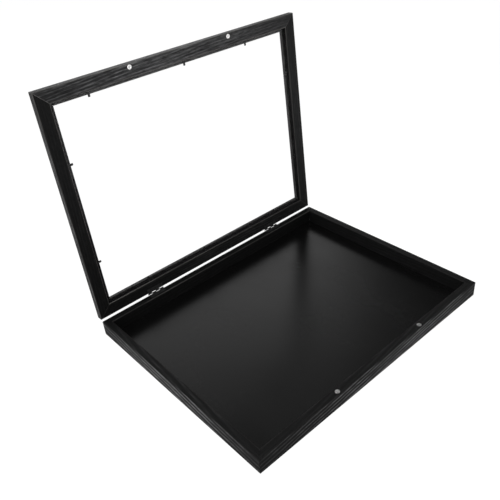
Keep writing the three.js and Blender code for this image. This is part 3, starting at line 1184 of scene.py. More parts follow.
@dataclass
class RailProfile:
    """The outline of a rail's section, as [inset, height] points.

    Attributes:
        points: the outline.
        corners: the middles of its worn corners, whose wear also paints highlights.
        arris_radius: the radius of its rounded corners.
        edges: the insets of its figured edges.
        wear_share: how far its corners wear.
        wear_width: how wide the wear is beside a corner.
        wear_reach_share: how far from a corner's middle it wears, as a share of the radius.
        edge_share: how far off an edge a point may lie, as a share of the radius.
    """

    points: list[Point]
    corners: list[Point]
    arris_radius: float
    edges: tuple[float, ...]
    wear_share: float = 1.0
    wear_width: float = 1.6 * MM
    wear_reach_share: float = 1.5
    edge_share: float = 0.1

    def with_wear_lines(self) -> list[Point]:
        """The outline with a point on each flat beside a rounded corner.

        Returns:
            The points, so that wear on a corner fades out over the wear's width.
        """
        result: list[Point] = []
        for here, there in zip(self.points, self.points[1:] + self.points[:1]):
            result.append(here)
            start, end = Vector(here), Vector(there)
            length = (end - start).length
            # A short flat has no room for two lines and wears all over
            if length < 3 * self.wear_width:
                continue
            along = (end - start) / length
            result.append(tuple(start + along * self.wear_width))
            result.append(tuple(end - along * self.wear_width))
        return result

    def on_edge(self, inset: float) -> bool:
        """Whether a point of the outline lies on one of its figured edges."""
        return any(abs(inset - edge) < self.arris_radius * self.edge_share for edge in self.edges)

    def wear_at(self, inset: float, height: float) -> float:
        """How worn a point of the outline is, which also sets its painted highlight.

        Args:
            inset: how far in from the rail's outer edge it lies.
            height: its height.

        Returns:
            The share of wear, which is 0 off the rounded corners.
        """
        reach = self.arris_radius * self.wear_reach_share
        worn = any(math.dist((inset, height), corner) < reach for corner in self.corners)
        return self.wear_share if worn else 0.0


def make_rail_tree() -> ShapeTree:
    """The tree that draws a section out along X and mitres its ends.

    Returns:
        The tree. The section lies in the YZ plane and faces +X.
    """
    shape = ShapeTree("mitred_rail", ["Length", "Mitre gap"])
    steps = shape.steps
    length = shape.size("Length")
    drawn = shape.drawn_out(shape.start.outputs["Geometry"], (1.0, 0.0, 0.0), length)
    place = steps.add("GeometryNodeInputPosition")
    parts = steps.add("ShaderNodeSeparateXYZ", {0: place.outputs[0]}).outputs
    from_middle = Measure(steps, parts["X"]) - length * 0.5
    end = steps.add("ShaderNodeMath", {0: from_middle}, operation="SIGN")
    set_back = shape.size("Mitre gap") * math.cos(MITRE_ANGLE)
    reach = length * 0.5 - Measure(steps, parts["Y"]) - set_back
    mitred = steps.vector(reach * Measure(steps, end.outputs[0]), parts["Y"], parts["Z"])
    moved = steps.add("GeometryNodeSetPosition", {"Geometry": drawn, "Position": mitred})
    shape.finish(moved.outputs[0])
    return shape


@dataclass
class RailMaker:
    """Makes the mitred rails of one half of the case."""

    sizes: CaseSizes
    profile: RailProfile
    tree: ShapeTree
    wood: Material

    def section_mesh(self) -> Mesh:
        """The flat section that the tree draws out.

        Returns:
            The mesh, facing +X.
        """
        flat = bmesh.new()
        points = [flat.verts.new((0.0, y, z)) for y, z in self.profile.with_wear_lines()]
        face = flat.faces.new(points)
        face.normal_update()
        if face.normal.x < 0:
            face.normal_flip()
        return to_mesh(flat, "section")

    def make(self, side: Side, tools: Sequence[Mesh], figure: Figure) -> Mesh:
        """Makes one rail in its own place, along X with its outer edge on Y = 0.

        Args:
            side: the side that it is made for.
            tools: what is cut into it, in the rail's own place.
            figure: how its wood looks.

        Returns:
            The rail, with its grain, rail, look and board attributes.
        """
        length = self.sizes.length(side)
        inputs = {"Length": length, "Mitre gap": self.sizes.mitre_gap, "Material": self.wood}
        mesh = carve(run_tree(self.section_mesh(), self.tree, inputs), tools)
        for name in (GRAIN, RAIL, LOOK_AND_LIGHT, BOARD):
            mesh.attributes.new(name, "FLOAT_VECTOR", "POINT")
        for i, vertex in enumerate(mesh.vertices):
            place = vertex.co.copy()
            share = place.x / length + 0.5
            # The pale figure's strength, which is partly painted sheen, is set apart for figured
            # edges and faces
            pale = figure.edges if self.profile.on_edge(place.y) else figure.faces
            # The wear of the rounded corners, which also paints highlights along them
            wear = between(figure.rub_and_highlight, share) * self.profile.wear_at(place.y, place.z)
            values = {
                GRAIN: place,
                RAIL: (length / 2, figure.seed, figure.slope),
                LOOK_AND_LIGHT: (wear, between(pale, share), between(figure.mitre_bare_and_highlight, share)),
                BOARD: (figure.ring_spacing, between(figure.plain, share), 0.0),
            }
            for name, value in values.items():
                mesh.attributes[name].data[i].vector = value
        return smooth(mesh, WOOD_SHARP_ANGLE)


@dataclass(frozen=True)
class ScrewSizes:
    """A countersunk screw with a cross recess."""

    head: float
    shank: float
    length: float
    rim: float = 0.3 * MM
    recess_span: float = 2.6 * MM
    recess_width: float = 0.7 * MM
    recess_depth: float = 0.8 * MM

    @property
    def inputs(self) -> Links:
        """The values for the screw tree's inputs.

        Returns:
            The sizes by their names, and a whole turn for the spin.
        """
        return {
            "Head radius": self.head,
            "Shank radius": self.shank,
            "Length": self.length,
            "Rim": self.rim,
            "Recess span": self.recess_span,
            "Recess width": self.recess_width,
            "Recess depth": self.recess_depth,
            "Spin": 2 * math.pi,
        }


def make_screw_tree(chamfer_share: float = 0.4, facets: int = 28) -> ShapeTree:
    """The tree that makes a countersunk screw on every point.

    Args:
        chamfer_share: the share of the head's rim that is chamfered.
        facets: the number of facets round the screw.

    Returns:
        The tree. A screw points down, with the top of its head on the point.
    """
    names = ["Head radius", "Shank radius", "Length", "Rim"]
    recess_names = ["Recess span", "Recess width", "Recess depth"]
    shape = ShapeTree("countersunk_screw", [*names, *recess_names, "Spin"])
    steps = shape.steps
    head, shank, length, rim = (shape.size(name) for name in names)
    span, width, depth = (shape.size(name) for name in recess_names)
    none = head * 0.0
    chamfer = rim * chamfer_share
    outline = [
        (none, none - length),
        (shank, shank - length),
        (shank, none - rim - head + shank),
        (head, none - rim),
        (head, none - chamfer),
        (head - chamfer, none),
        (none, none),
    ]
    blank = shape.turned(outline, facets)
    cut = steps.add("GeometryNodeMeshBoolean", {"Mesh 1": blank}, operation="DIFFERENCE")
    for first, second in ((span, width), (width, span)):
        arm = steps.add("GeometryNodeMeshCube", {"Size": steps.vector(first, second, depth * 2.0)})
        steps.join(arm.outputs["Mesh"], cut.inputs["Mesh 2"])
    shape.finish(shape.copies(cut.outputs["Mesh"], shape.size("Spin")))
    return shape


def make_magnet_tree(facets: int = 56) -> ShapeTree:
    """The tree that makes a ring magnet with a countersunk hole on every point.

    Args:
        facets: the number of facets round the magnet.

    Returns:
        The tree. A magnet's face is on the point and looks up.
    """
    names = ["Radius", "Thickness", "Edge", "Hole radius", "Countersink"]
    shape = ShapeTree("ring_magnet", names)
    radius, thick, edge, hole, sink = (shape.size(name) for name in names)
    none = radius * 0.0
    outline = [
        (hole, none - thick),
        (radius - edge, none - thick),
        (radius, edge - thick),
        (radius, none - edge),
        (radius - edge, none),
        (hole + sink, none),
        (hole, none - sink),
        (hole, none - thick),
    ]
    shape.finish(shape.copies(shape.turned(outline, facets)))
    return shape


def make_tab_tree(corner_facets: int = 5) -> ShapeTree:
    """The tree that makes a flat glazing tab with rounded corners on every point.

    Args:
        corner_facets: the number of facets in a rounded corner.

    Returns:
        The tree. A tab lies along +Y with its root on the point and its top on Z = 0.
    """
    names = ["Width", "Length", "Thickness", "Corner"]
    shape = ShapeTree("glazing_tab", names)
    steps = shape.steps
    width, length, thickness, corner = (shape.size(name) for name in names)
    sides = {"Width": width, "Height": length}
    outline = steps.add("GeometryNodeCurvePrimitiveQuadrilateral", sides)
    rounding = {"Curve": outline.outputs[0], "Count": corner_facets, "Radius": corner}
    rounded = steps.add("GeometryNodeFilletCurve", rounding, mode="POLY")
    face = steps.add("GeometryNodeFillCurve", {"Curve": rounded.outputs[0]}, mode="NGONS")
    plate = shape.drawn_out(face.outputs[0], (0.0, 0.0, 1.0), thickness)
    tab = shape.moved(plate, steps.vector(y=length * 0.5, z=thickness * -1.0))
    shape.finish(shape.copies(tab))
    return shape


def points_mesh(places: Sequence[Matrix]) -> Mesh:
    """A mesh of loose points, each with the turn of its place.

    Args:
        places: where the copies stand.

    Returns:
        The mesh.
    """
    mesh = bpy.data.meshes.new("points")
    mesh.from_pydata([place.translation for place in places], [], [])
    turns = mesh.attributes.new(TURN, "FLOAT_VECTOR", "POINT")
    for i, place in enumerate(places):
        turns.data[i].vector = place.to_euler("XYZ")
    return mesh


def at(x: float, y: float, z: float, over: bool = False) -> Matrix:
    """A place, turned over to point up where over is true."""
    turn = Euler((math.pi if over else 0.0, 0.0, 0.0)).to_matrix().to_4x4()
    return Matrix.Translation((x, y, z)) @ turn


@dataclass(frozen=True)
class MagnetSizes:
    """The ring magnets in the two free edges.

    In the methods, face is the height of a half's parting face, and into is 1 where its wood is
    above that and -1 where it is below.
    """

    radius: float = 6 * MM
    thickness: float = 3 * MM
    sink: float = 0.1 * MM
    inset: float = 9 * MM
    offset: float = 154 * MM
    shift: float = 2 * MM
    edge: float = 0.35 * MM
    hole: float = 1.5 * MM
    countersink: float = 1.2 * MM

    @property
    def inputs(self) -> Links:
        """The values for the magnet tree's inputs.

        Returns:
            The sizes by their names.
        """
        return {
            "Radius": self.radius,
            "Thickness": self.thickness,
            "Edge": self.edge,
            "Hole radius": self.hole,
            "Countersink": self.countersink,
        }

    @property
    def spots(self) -> Pair:
        """The magnets' places along the rail, a little to the right of its middle."""
        return self.shift - self.offset, self.shift + self.offset

    def places(self, face: float, into: int) -> list[Matrix]:
        """Where the magnets stand on a front rail, in the rail's own place."""
        height = face + into * self.sink
        return [at(x, self.inset, height, into > 0) for x in self.spots]

    def pockets(self, face: float, gap: float, overrun: float, into: int) -> list[Mesh]:
        """The pockets for the magnets in a front rail.

        Args:
            face: the height of the parting face.
            gap: the clearance round a magnet.
            overrun: how far a cutting tool stands out of the face.
            into: the direction into the wood.

        Returns:
            The cutting tools.
        """
        depth = self.sink + self.thickness + gap + overrun
        middle = face - into * (overrun - depth / 2)
        return [disc_mesh(self.radius + gap, (x, self.inset, middle), depth) for x in self.spots]


@dataclass(frozen=True)
class HingeSizes:
    """The beds that the hinges' leaves lie in, and their screws' places."""

    length: float = 50 * MM
    offset: float = 224 * MM
    leaf_width: float = 13 * MM
    leaf_thickness: float = 0.5 * MM
    screw_end_inset: float = 11 * MM
    screw_inset: float = 7.5 * MM

    @property
    def spots(self) -> Pair:
        """The hinges' places along the rail."""
        return -self.offset, self.offset

    def beds(self, face: float, gap: float, overrun: float, into: int) -> list[Mesh]:
        """The beds in a rear rail's parting face.

        Args:
            face: the height of the parting face.
            gap: the clearance round a leaf.
            overrun: how far a cutting tool stands out of the wood.
            into: the direction into the wood.

        Returns:
            The cutting tools.
        """
        half = self.length / 2 + gap
        depth = self.leaf_width + gap
        low, high = sorted((face - into * overrun, face + into * (self.leaf_thickness + gap)))
        return [box_mesh((x - half, -overrun, low), (x + half, depth, high)) for x in self.spots]

    def screw_places(self, face: float, sink: float, into: int) -> list[Matrix]:
        """Where the leaves' screws stand on a rear rail.

        Args:
            face: the height of the parting face.
            sink: how deep their heads lie in it.
            into: the direction into the wood.

        Returns:
            The places in the rail's own place.
        """
        reach = self.length / 2 - self.screw_end_inset
        height = face + into * sink
        return [
            at(x + step, self.screw_inset, height, into > 0)
            for x in self.spots
            for step in (-reach, reach)
        ]


def node_names(stem: str, count: int) -> list[str]:
    """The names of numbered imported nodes."""
    return [f"{stem}_{i + 1}" for i in range(count)]


@dataclass
class Fasteners:
    """Makes the screws and magnets of both halves."""

    finishes: Finishes
    screw_tree: ShapeTree = field(default_factory=make_screw_tree)
    magnet_tree: ShapeTree = field(default_factory=make_magnet_tree)
    magnet: MagnetSizes = MagnetSizes()
    wood_screw: ScrewSizes = ScrewSizes(head=2.4 * MM, shank=1.2 * MM, length=12 * MM)
    hinge_screw: ScrewSizes = ScrewSizes(head=2.2 * MM, shank=1.1 * MM, length=11 * MM)
    screw_sink: float = 0.2 * MM

    def screws(
        self,
        name: str,
        screw: ScrewSizes,
        places: Sequence[Matrix],
        slot: Slot,
        body: Body,
        replaced: Sequence[str],
    ) -> None:
        """Adds the screws of one kind on one body.

        Args:
            name: the piece's name.
            screw: the screw's sizes.
            places: where the screws stand.
            slot: the piece's slot.
            body: the body that they ride on.
            replaced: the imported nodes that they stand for.
        """
        inputs = {**screw.inputs, "Material": self.finishes[slot]}
        mesh = run_tree(points_mesh(places), self.screw_tree, inputs)
        smooth(mesh, METAL_SHARP_ANGLE)
        show_piece(name, mesh, self.finishes, slot, body, replaced)

    def magnets(self, places: Sequence[Matrix], body: Body) -> None:
        """Adds the two magnets of one body.

        Args:
            places: where the magnets stand.
            body: the body that they ride on.
        """
        inputs = {**self.magnet.inputs, "Material": self.finishes[Slot.NICKEL]}
        mesh = run_tree(points_mesh(places), self.magnet_tree, inputs)
        smooth(mesh, METAL_SHARP_ANGLE)
        replaced = [f"{body.value}_magnet_{hand}" for hand in HANDS]
        show_piece(f"{body.value}_magnets", mesh, self.finishes, Slot.NICKEL, body, replaced)


@dataclass
class CaseHalf(ABC):
    """What the box and the lid share: mitred rails, two magnets and the hinge screws.

    Attributes:
        sizes: the sizes of the whole case.
        finishes: the material of each slot.
        fasteners: what makes the screws and magnets.
        rail_tree: the tree that makes a mitred rail.
        arris_radius: the radius of the rails' rounded corners.
        hinge: the hinges' sizes.
        body: the half's body.
        into: 1 where its wood is above its parting face, and -1 where it is below.
        wood_screw_piece: the name of the piece with its wood screws.
    """

    sizes: CaseSizes
    finishes: Finishes
    fasteners: Fasteners
    rail_tree: ShapeTree
    arris_radius: float = 0.9 * MM
    hinge: HingeSizes = HingeSizes()
    body: ClassVar[Body]
    into: ClassVar[int]
    wood_screw_piece: ClassVar[str]

    @property
    @abstractmethod
    def stand(self) -> Matrix:
        """Where the half stands in the case."""

    @property
    @abstractmethod
    def face(self) -> float:
        """The height of its parting face, in its own place."""

    @abstractmethod
    def profile(self) -> RailProfile:
        """The section of its rails."""

    @abstractmethod
    def figure(self, side: Side) -> Figure:
        """How the wood of one of its rails looks."""

    @abstractmethod
    def nodes_in_view(self) -> dict[Slot, Sequence[str]]:
        """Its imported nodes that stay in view, for each slot."""

    def outer_corners(self, width: float, height: float) -> tuple[list[Point], list[Point]]:
        """The three rounded corners that every rail has.

        Args:
            width: the rail's width.
            height: its height.

        Returns:
            The points along its foot, outer edge and top, and the middles of the corners.
        """
        r = self.arris_radius
        middles = [(r, r), (r, height - r), (width - r, height - r)]
        starts = (-math.pi / 2, math.pi, math.pi / 2)
        points = [arris(middle, r, start) for middle, start in zip(middles, starts)]
        return [point for corner in points for point in corner], middles

    def tools(self, side: Side) -> list[Mesh]:
        """What is cut into a rail, here the pockets and beds that both halves have.

        Args:
            side: the rail's side.

        Returns:
            The cutting tools, in the rail's own place.
        """
        gap, overrun = self.sizes.fit_gap, self.sizes.overrun
        if side is Side.FRONT:
            return self.fasteners.magnet.pockets(self.face, gap, overrun, self.into)
        if side is Side.REAR:
            return self.hinge.beds(self.face, gap, overrun, self.into)
        return []

    def other_wood_screws(self) -> tuple[list[Matrix], list[str]]:
        """The places of wood screws beside the magnets' own, and the nodes that they stand for."""
        return [], []

    def build(self) -> None:
        """Adds the rails, the magnets and the screws."""
        name = self.body.value
        maker = RailMaker(self.sizes, self.profile(), self.rail_tree, self.finishes[Slot.WOOD])
        for side in Side:
            mesh = maker.make(side, self.tools(side), self.figure(side))
            mesh.transform(self.stand @ self.sizes.side_place(side))
            node = f"{name}_rail_{side.value}"
            show_piece(f"{node}_wood", mesh, self.finishes, Slot.WOOD, self.body, [node])

        front = self.stand @ self.sizes.side_place(Side.FRONT)
        magnets = [front @ place for place in self.fasteners.magnet.places(self.face, self.into)]
        self.fasteners.magnets(magnets, self.body)

        sink = self.fasteners.screw_sink
        places, nodes = self.other_wood_screws()
        self.fasteners.screws(
            self.wood_screw_piece,
            self.fasteners.wood_screw,
            [*places, *(place @ Matrix.Translation((0, 0, -sink)) for place in magnets)],
            Slot.ZINC,
            self.body,
            [*nodes, *(f"{name}_magnet_screw_{hand}" for hand in HANDS)],
        )
        rear = self.stand @ self.sizes.side_place(Side.REAR)
        leaf_screws = self.hinge.screw_places(self.face, sink, self.into)
        self.fasteners.screws(
            f"{name}_hinge_screws",
            self.fasteners.hinge_screw,
            [rear @ place for place in leaf_screws],
            Slot.BLACK_STEEL,
            self.body,
            [f"{name}_hinge_screw_{hand}_{i}" for hand in HANDS for i in (1, 2)],
        )

    def dress(self) -> None:
        """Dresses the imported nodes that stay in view."""
        for slot, names in self.nodes_in_view().items():
            for name in names:
                dress_node(name, self.finishes[slot])


@dataclass
class BoxHalf(CaseHalf):
    """The box: four rails, the back panel, and what is fixed to them."""

    rail_thickness: float = 20 * MM
    rebate_width: float = 7 * MM
    panel_thickness: float = 4 * MM
    panel_screw_inset: float = 17 * MM
    long_screw_share: float = 0.8
    wear_share: float = 0.18
    ring_spacing: float = 7.6 * MM
    left_ring_spacing: float = 9.6 * MM
    hanger_length: float = 42 * MM
    hanger_width: float = 10 * MM
    hanger_thickness: float = 1.2 * MM
    hanger_sink: float = 0.2 * MM
    hanger_from_end: float = 110 * MM
    hanger_screw_end_inset: float = 4.5 * MM
    keyhole_radius: float = 3.7 * MM
    keyhole_slot_length: float = 8 * MM
    keyhole_depth: float = 9 * MM
    body: ClassVar[Body] = Body.BOX
    into: ClassVar[int] = -1
    wood_screw_piece: ClassVar[str] = "box_wood_screws"

    @property
    def stand(self) -> Matrix:
        """Where the box stands, which is its own place."""
        return Matrix.Identity(4)

    @property
    def face(self) -> float:
        """The height of the box's rim."""
        return self.sizes.box_height

    def figure(self, side: Side) -> Figure:
        """How the wood of a box rail looks.

        Args:
            side: the rail's side.

        Returns:
            Its figure. Only the front and left rails, whose outer faces are in view, get a strong
            pale figure there. It is partly painted sheen, and its change along each rail is
            painted light falling off.
        """
        near, far = self.ring_spacing, self.left_ring_spacing
        dim, soft = (0.02, 0.02), (0.4, 0.4)
        return {
            Side.FRONT: Figure(
                seed=0.31, slope=-0.06, faces=(0.024, 0.06), edges=(0.3, 1.15), ring_spacing=near
            ),
            Side.RIGHT: Figure(seed=0.62, slope=0.035, faces=dim, edges=soft, ring_spacing=near),
            Side.REAR: Figure(
                seed=0.93, slope=0.035, faces=dim, edges=soft, rub_and_highlight=(6.0, 6.0), ring_spacing=near
            ),
            Side.LEFT: Figure(
                seed=1.24, slope=0.06, faces=(0.066, 0.036), edges=(0.98, 0.54), ring_spacing=far
            ),
        }[side]

    def profile(self) -> RailProfile:
        """The section of a box rail.

        Returns:
            The profile, rebated at the back for the panel.
        """
        wide = self.rail_thickness
        ledge = self.panel_thickness + self.sizes.fit_gap
        land = wide - self.rebate_width
        rounded, corners = self.outer_corners(wide, self.sizes.box_height)
        points = [*rounded, (wide, ledge), (land, ledge), (land, 0.0)]
        return RailProfile(
            points, corners, self.arris_radius, edges=(0.0,), wear_share=self.wear_share
        )

    @property
    def hanger_place(self) -> Point:
        """Where a hanger plate stands: its X, and its inset from the rail's outer edge."""
        land = self.rail_thickness - self.rebate_width
        return self.sizes.width / 2 - self.hanger_from_end, land / 2

    def hanger_seat(self, side: Side) -> list[Mesh]:
        """The bed and the keyhole's pocket in a long rail's back.

        Args:
            side: the rail's side.

        Returns:
            The cutting tools, in the rail's own place.
        """
        gap, overrun = self.sizes.fit_gap, self.sizes.overrun
        along, inset = self.hanger_place
        x = along if side is Side.FRONT else -along
        half, wide = self.hanger_length / 2 + gap, self.hanger_width / 2 + gap
        top = self.hanger_sink + self.hanger_thickness + gap
        reach, radius = self.keyhole_slot_length / 2 + self.keyhole_radius, self.keyhole_radius
        return [
            box_mesh((x - half, inset - wide, -overrun), (x + half, inset + wide, top)),
            box_mesh(
                (x - reach, inset - radius, 0.0), (x + reach, inset + radius, self.keyhole_depth)
            ),
        ]

    def tools(self, side: Side) -> list[Mesh]:
        """Everything that is cut into a rail."""
        return [*(self.hanger_seat(side) if side.is_long else []), *super().tools(side)]

    def other_wood_screws(self) -> tuple[list[Matrix], list[str]]:
        """The screws of the panel and of the hanger plates.

        Returns:
            Their places, and the nodes that they stand for.
        """
        places, nodes = [], []
        sink = self.fasteners.screw_sink
        for side in Side:
            shares = (-self.long_screw_share, 0.0, self.long_screw_share) if side.is_long else (0.0,)
            for share in shares:
                x = share * self.sizes.length(side) / 2
                place = at(x, self.panel_screw_inset, sink, over=True)
                places.append(self.sizes.side_place(side) @ place)
            nodes += node_names(f"panel_screw_{side.value}", len(shares))

        along, inset = self.hanger_place
        reach = self.hanger_length / 2 - self.hanger_screw_end_inset
        height = self.hanger_sink + sink
        for side, facing in ((Side.FRONT, 1), (Side.REAR, -1)):
            y = facing * (inset - self.sizes.depth / 2)
            places += [at(along + step, y, height, over=True) for step in (-reach, reach)]
            nodes += node_names(f"hanger_screw_{side.value}", 2)
        return places, nodes

    def nodes_in_view(self) -> dict[Slot, Sequence[str]]:
        """The box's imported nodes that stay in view.

        Returns:
            Their names for each slot.
        """
        hinge_parts = ("box_hinge_leaf", "hinge_pin")
        return {
            Slot.BOARD: ["back_panel"],
            Slot.ZINC: ["hanger_plate_front", "hanger_plate_rear"],
            Slot.BLACK_STEEL: [f"{part}_{hand}" for part in hinge_parts for hand in HANDS],
        }


@dataclass
class LidHalf(CaseHalf):
    """The lid: four rails, the glazing and its tabs, and what is fixed to them."""

    rail_width: float = 43 * MM
    rebate_inset: float = 34 * MM
    rebate_depth: float = 9.5 * MM
    glazing_thickness: float = 2 * MM
    tab_width: float = 6 * MM
    tab_thickness: float = 0.5 * MM
    tab_reach: float = 14.5 * MM
    tab_buried: float = 6 * MM
    tab_corner: float = 1.2 * MM
    tab_shares: dict[Side, tuple[float, ...]] = field(
        default_factory=lambda: {
            Side.FRONT: (-0.67, 0.02, 0.54),
            Side.RIGHT: (-0.48, 0.385),
            Side.REAR: (-0.625, 0.085, 0.585),
            Side.LEFT: (-0.48, 0.4),
        }
    )
    body: ClassVar[Body] = Body.LID
    into: ClassVar[int] = 1
    wood_screw_piece: ClassVar[str] = "lid_magnet_screws"

    @property
    def stand(self) -> Matrix:
        """Where the open lid stands."""
        return self.sizes.lid_place

    @property
    def face(self) -> float:
        """The height of the lid's rim, which is its own zero."""
        return 0.0

    def figure(self, side: Side) -> Figure:
        """How the wood of a lid rail looks.

        Args:
            side: the rail's side.

        Returns:
            Its figure. The front rail, which stands highest, is painted palest, as sheen from the
            light above, and its corners are the most rubbed, with painted highlights. The left
            rail's faces are painted darkest.
        """
        return {
            Side.FRONT: Figure(
                seed=0.58,
                slope=0.04,
                faces=(1.0, 0.82),
                edges=(1.2, 1.2),
                rub_and_highlight=(2.4, 2.4),
                plain=(0.6, 0.9),
                mitre_bare_and_highlight=(0.9, 0.6),
            ),
            Side.RIGHT: Figure(
                seed=1.05,
                slope=-0.03,
                faces=(0.15, 0.13),
                edges=(0.3, 0.3),
                plain=(0.7, 0.7),
                mitre_bare_and_highlight=(0.5, 0.1),
            ),
            Side.REAR: Figure(
                seed=1.52,
                slope=-0.03,
                faces=(0.19, 0.05),
                edges=(0.15, 1.0),
                rub_and_highlight=(0.8, 2.2),
                plain=(0.3, 0.3),
                mitre_bare_and_highlight=(0.1, 0.1),
            ),
            Side.LEFT: Figure(
                seed=1.99,
                slope=-0.03,
                faces=(0.035, 0.02),
                edges=(1.0, 0.5),
                rub_and_highlight=(1.5, 1.5),
                mitre_bare_and_highlight=(0.2, 0.9),
            ),
        }[side]

    def profile(self) -> RailProfile:
        """The section of a lid rail.

        Returns:
            The profile, rebated inside for the glazing.
        """
        r, wide, ledge = self.arris_radius, self.rail_width, self.rebate_depth
        lip = (self.rebate_inset - r, r)
        rounded, corners = self.outer_corners(wide, self.sizes.lid_thickness)
        points = [*rounded, (wide, ledge), (self.rebate_inset, ledge), *arris(lip, r, 0.0)]
        # The lip's corner and the ledge's edge count as worn corners, so that their wear paints
        # light lines along the opening
        return RailProfile(points, [*corners, lip, (wide, ledge)], r, edges=(0.0, wide))

    @property
    def tab_top(self) -> float:
        """The height of a tab's upper face, just under the glazing."""
        return self.rebate_depth - self.glazing_thickness - 2 * self.sizes.fit_gap

    def tab_places(self, side: Side) -> list[Matrix]:
        """Where a rail's tabs start.

        Args:
            side: the rail's side.

        Returns:
            Their places inside the rebate's wall, in the rail's own place.
        """
        half = self.sizes.length(side) / 2
        root = self.rebate_inset - self.tab_buried
        return [at(share * half, root, self.tab_top) for share in self.tab_shares[side]]

    def tab_slot(self, place: Matrix) -> Mesh:
        """The slot that a tab's buried end lies in.

        Args:
            place: where the tab starts.

        Returns:
            The cutting tool.
        """
        gap = self.sizes.fit_gap
        x, y, top = place.translation
        half = self.tab_width / 2 + gap
        low = (x - half, y - gap, self.tab_top - self.tab_thickness - gap)
        high = (x + half, self.rebate_inset + self.sizes.overrun, self.tab_top + gap)
        return box_mesh(low, high)

    def tools(self, side: Side) -> list[Mesh]:
        """Everything that is cut into a rail."""
        return [*(self.tab_slot(place) for place in self.tab_places(side)), *super().tools(side)]

    def build(self) -> None:
        """Adds what the halves share, and the tabs that hold the glazing."""
        super().build()
        places, nodes = [], []
        for side in Side:
            rail = self.stand @ self.sizes.side_place(side)
            places += [rail @ place for place in self.tab_places(side)]
            nodes += node_names(f"glazing_tab_{side.value}", len(self.tab_shares[side]))
        inputs = {
            "Width": self.tab_width,
            "Length": self.tab_buried + self.tab_reach,
            "Thickness": self.tab_thickness,
            "Corner": self.tab_corner,
            "Material": self.finishes[Slot.BLACK_STEEL],
        }
        mesh = run_tree(points_mesh(places), make_tab_tree(), inputs)
        show_piece("lid_glazing_tabs", mesh, self.finishes, Slot.BLACK_STEEL, self.body, nodes)

    def nodes_in_view(self) -> dict[Slot, Sequence[str]]:
        """The lid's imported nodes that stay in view.

        Returns:
            Their names for each slot.
        """
        return {
            Slot.ACRYLIC: ["glazing_sheet"],
            Slot.ZINC: [f"lid_corner_nail_{side.value}" for side in Side],
            Slot.BLACK_STEEL: [f"lid_hinge_leaf_{hand}" for hand in HANDS],
        }


@dataclass(frozen=True)
class Floor:
    """The pale floor, which takes the case's shadow.

    It is white to the camera, and what mirrors it sees a pool of light.

    Attributes:
        size: the length of its side.
        drop: how far below the case it lies.
        paint: how pale it is to scattered light.
        shade: how pale it is to the camera, which is what its shadows darken.
        glow: the even light that the camera sees besides.
        pool_centre: the middle of the pool.
        pool: the pool's (distance, light) pairs.
    """

    size: float = 14.0
    drop: float = 0.4 * MM
    paint: float = 0.82
    shade: float = 0.16
    glow: float = 0.95
    pool_centre: Triple = (0.1, 0.3, 0.0)
    pool: tuple[Pair, ...] = ((0.5, 0.4), (0.66, 0.33), (0.8, 0.3), (0.95, 0.6), (3.0, 1.0))

    def build(self) -> None:
        """Adds the floor."""
        grid = bmesh.new()
        bmesh.ops.create_grid(grid, x_segments=1, y_segments=1, size=self.size / 2)
        mesh = to_mesh(grid, "floor")
        mesh.materials.append(self.make())
        thing = add_object("floor", mesh)
        thing.location.z = -self.drop
        LOG.info("floor: %.0f m wide", self.size)

    def make(self) -> Material:
        """Builds the floor's material.

        Returns:
            The material.
        """
        finish = Finish("pale_floor")
        steps = finish.steps
        paint, shade = (
            steps.add("ShaderNodeBsdfDiffuse", {"Color": (level, level, level, 1.0)}).outputs[0]
            for level in (self.paint, self.shade)
        )
        glow = steps.add("ShaderNodeEmission", {"Strength": self.glow}).outputs[0]
        seen = steps.add("ShaderNodeAddShader", {0: shade, 1: glow}).outputs[0]
        reach = steps.add(
            "ShaderNodeVectorMath", {0: finish.place, 1: self.pool_centre}, operation="DISTANCE"
        )
        half = self.size / 2
        pool = finish.ramp(
            finish.math("DIVIDE", reach.outputs["Value"], half),
            greys([(distance / half, light) for distance, light in self.pool]),
        )
        mirrored = steps.add("ShaderNodeEmission", {"Color": pool, "Strength": 1.0}).outputs[0]
        plain = finish.mix_shaders(finish.direct_ray(), paint, seen)
        finish.end_with(finish.mix_shaders(finish.mirror_ray(), plain, mirrored))
        return finish.material


@dataclass(frozen=True)
class Sky:
    """The surroundings: white low down, dim overhead and to the right.

    Attributes:
        rightwards: the level direction of the dimmer side.
        left: the light on the left, as (height, level) pairs.
        right: the light on the right.
        seam: how one goes over into the other.
    """

    rightwards: Triple = (0.629, -0.777, 0.0)
    left: tuple[Pair, ...] = (
        (0.6, 1.0),
        (0.656, 0.75),
        (0.682, 0.55),
        (0.707, 0.3),
        (0.766, 0.13),
        (0.86, 0.07),
    )
    right: tuple[Pair, ...] = ((0.26, 1.0), (0.36, 0.02), (0.9, 0.04))
    seam: Span = Span(-0.05, 0.03, 0.0, 1.0)

    def build(self) -> None:
        """Adds the surroundings, which the camera sees as plain white."""
        world = bpy.data.worlds.new("studio")
        bpy.context.scene.world = world
        world.use_nodes = True
        shade = ShadeSteps(world.node_tree)
        look = shade.steps.add("ShaderNodeTexCoord").outputs["Generated"]
        height = shade.parts(look)[2]
        side = shade.steps.add(
            "ShaderNodeVectorMath", {0: look, 1: self.rightwards}, operation="DOT_PRODUCT"
        )
        left, right = (shade.ramp(height, greys(levels)) for levels in (self.left, self.right))
        sky = shade.mix_colours(shade.span(side.outputs["Value"], self.seam), left, right)
        seen = shade.mix_colours(shade.direct_ray(), sky, (*WHITE, 1.0))
        shade.steps.join(seen, world.node_tree.nodes["Background"].inputs["Color"])
        LOG.info("surroundings: %d and %d levels", len(self.left), len(self.right))


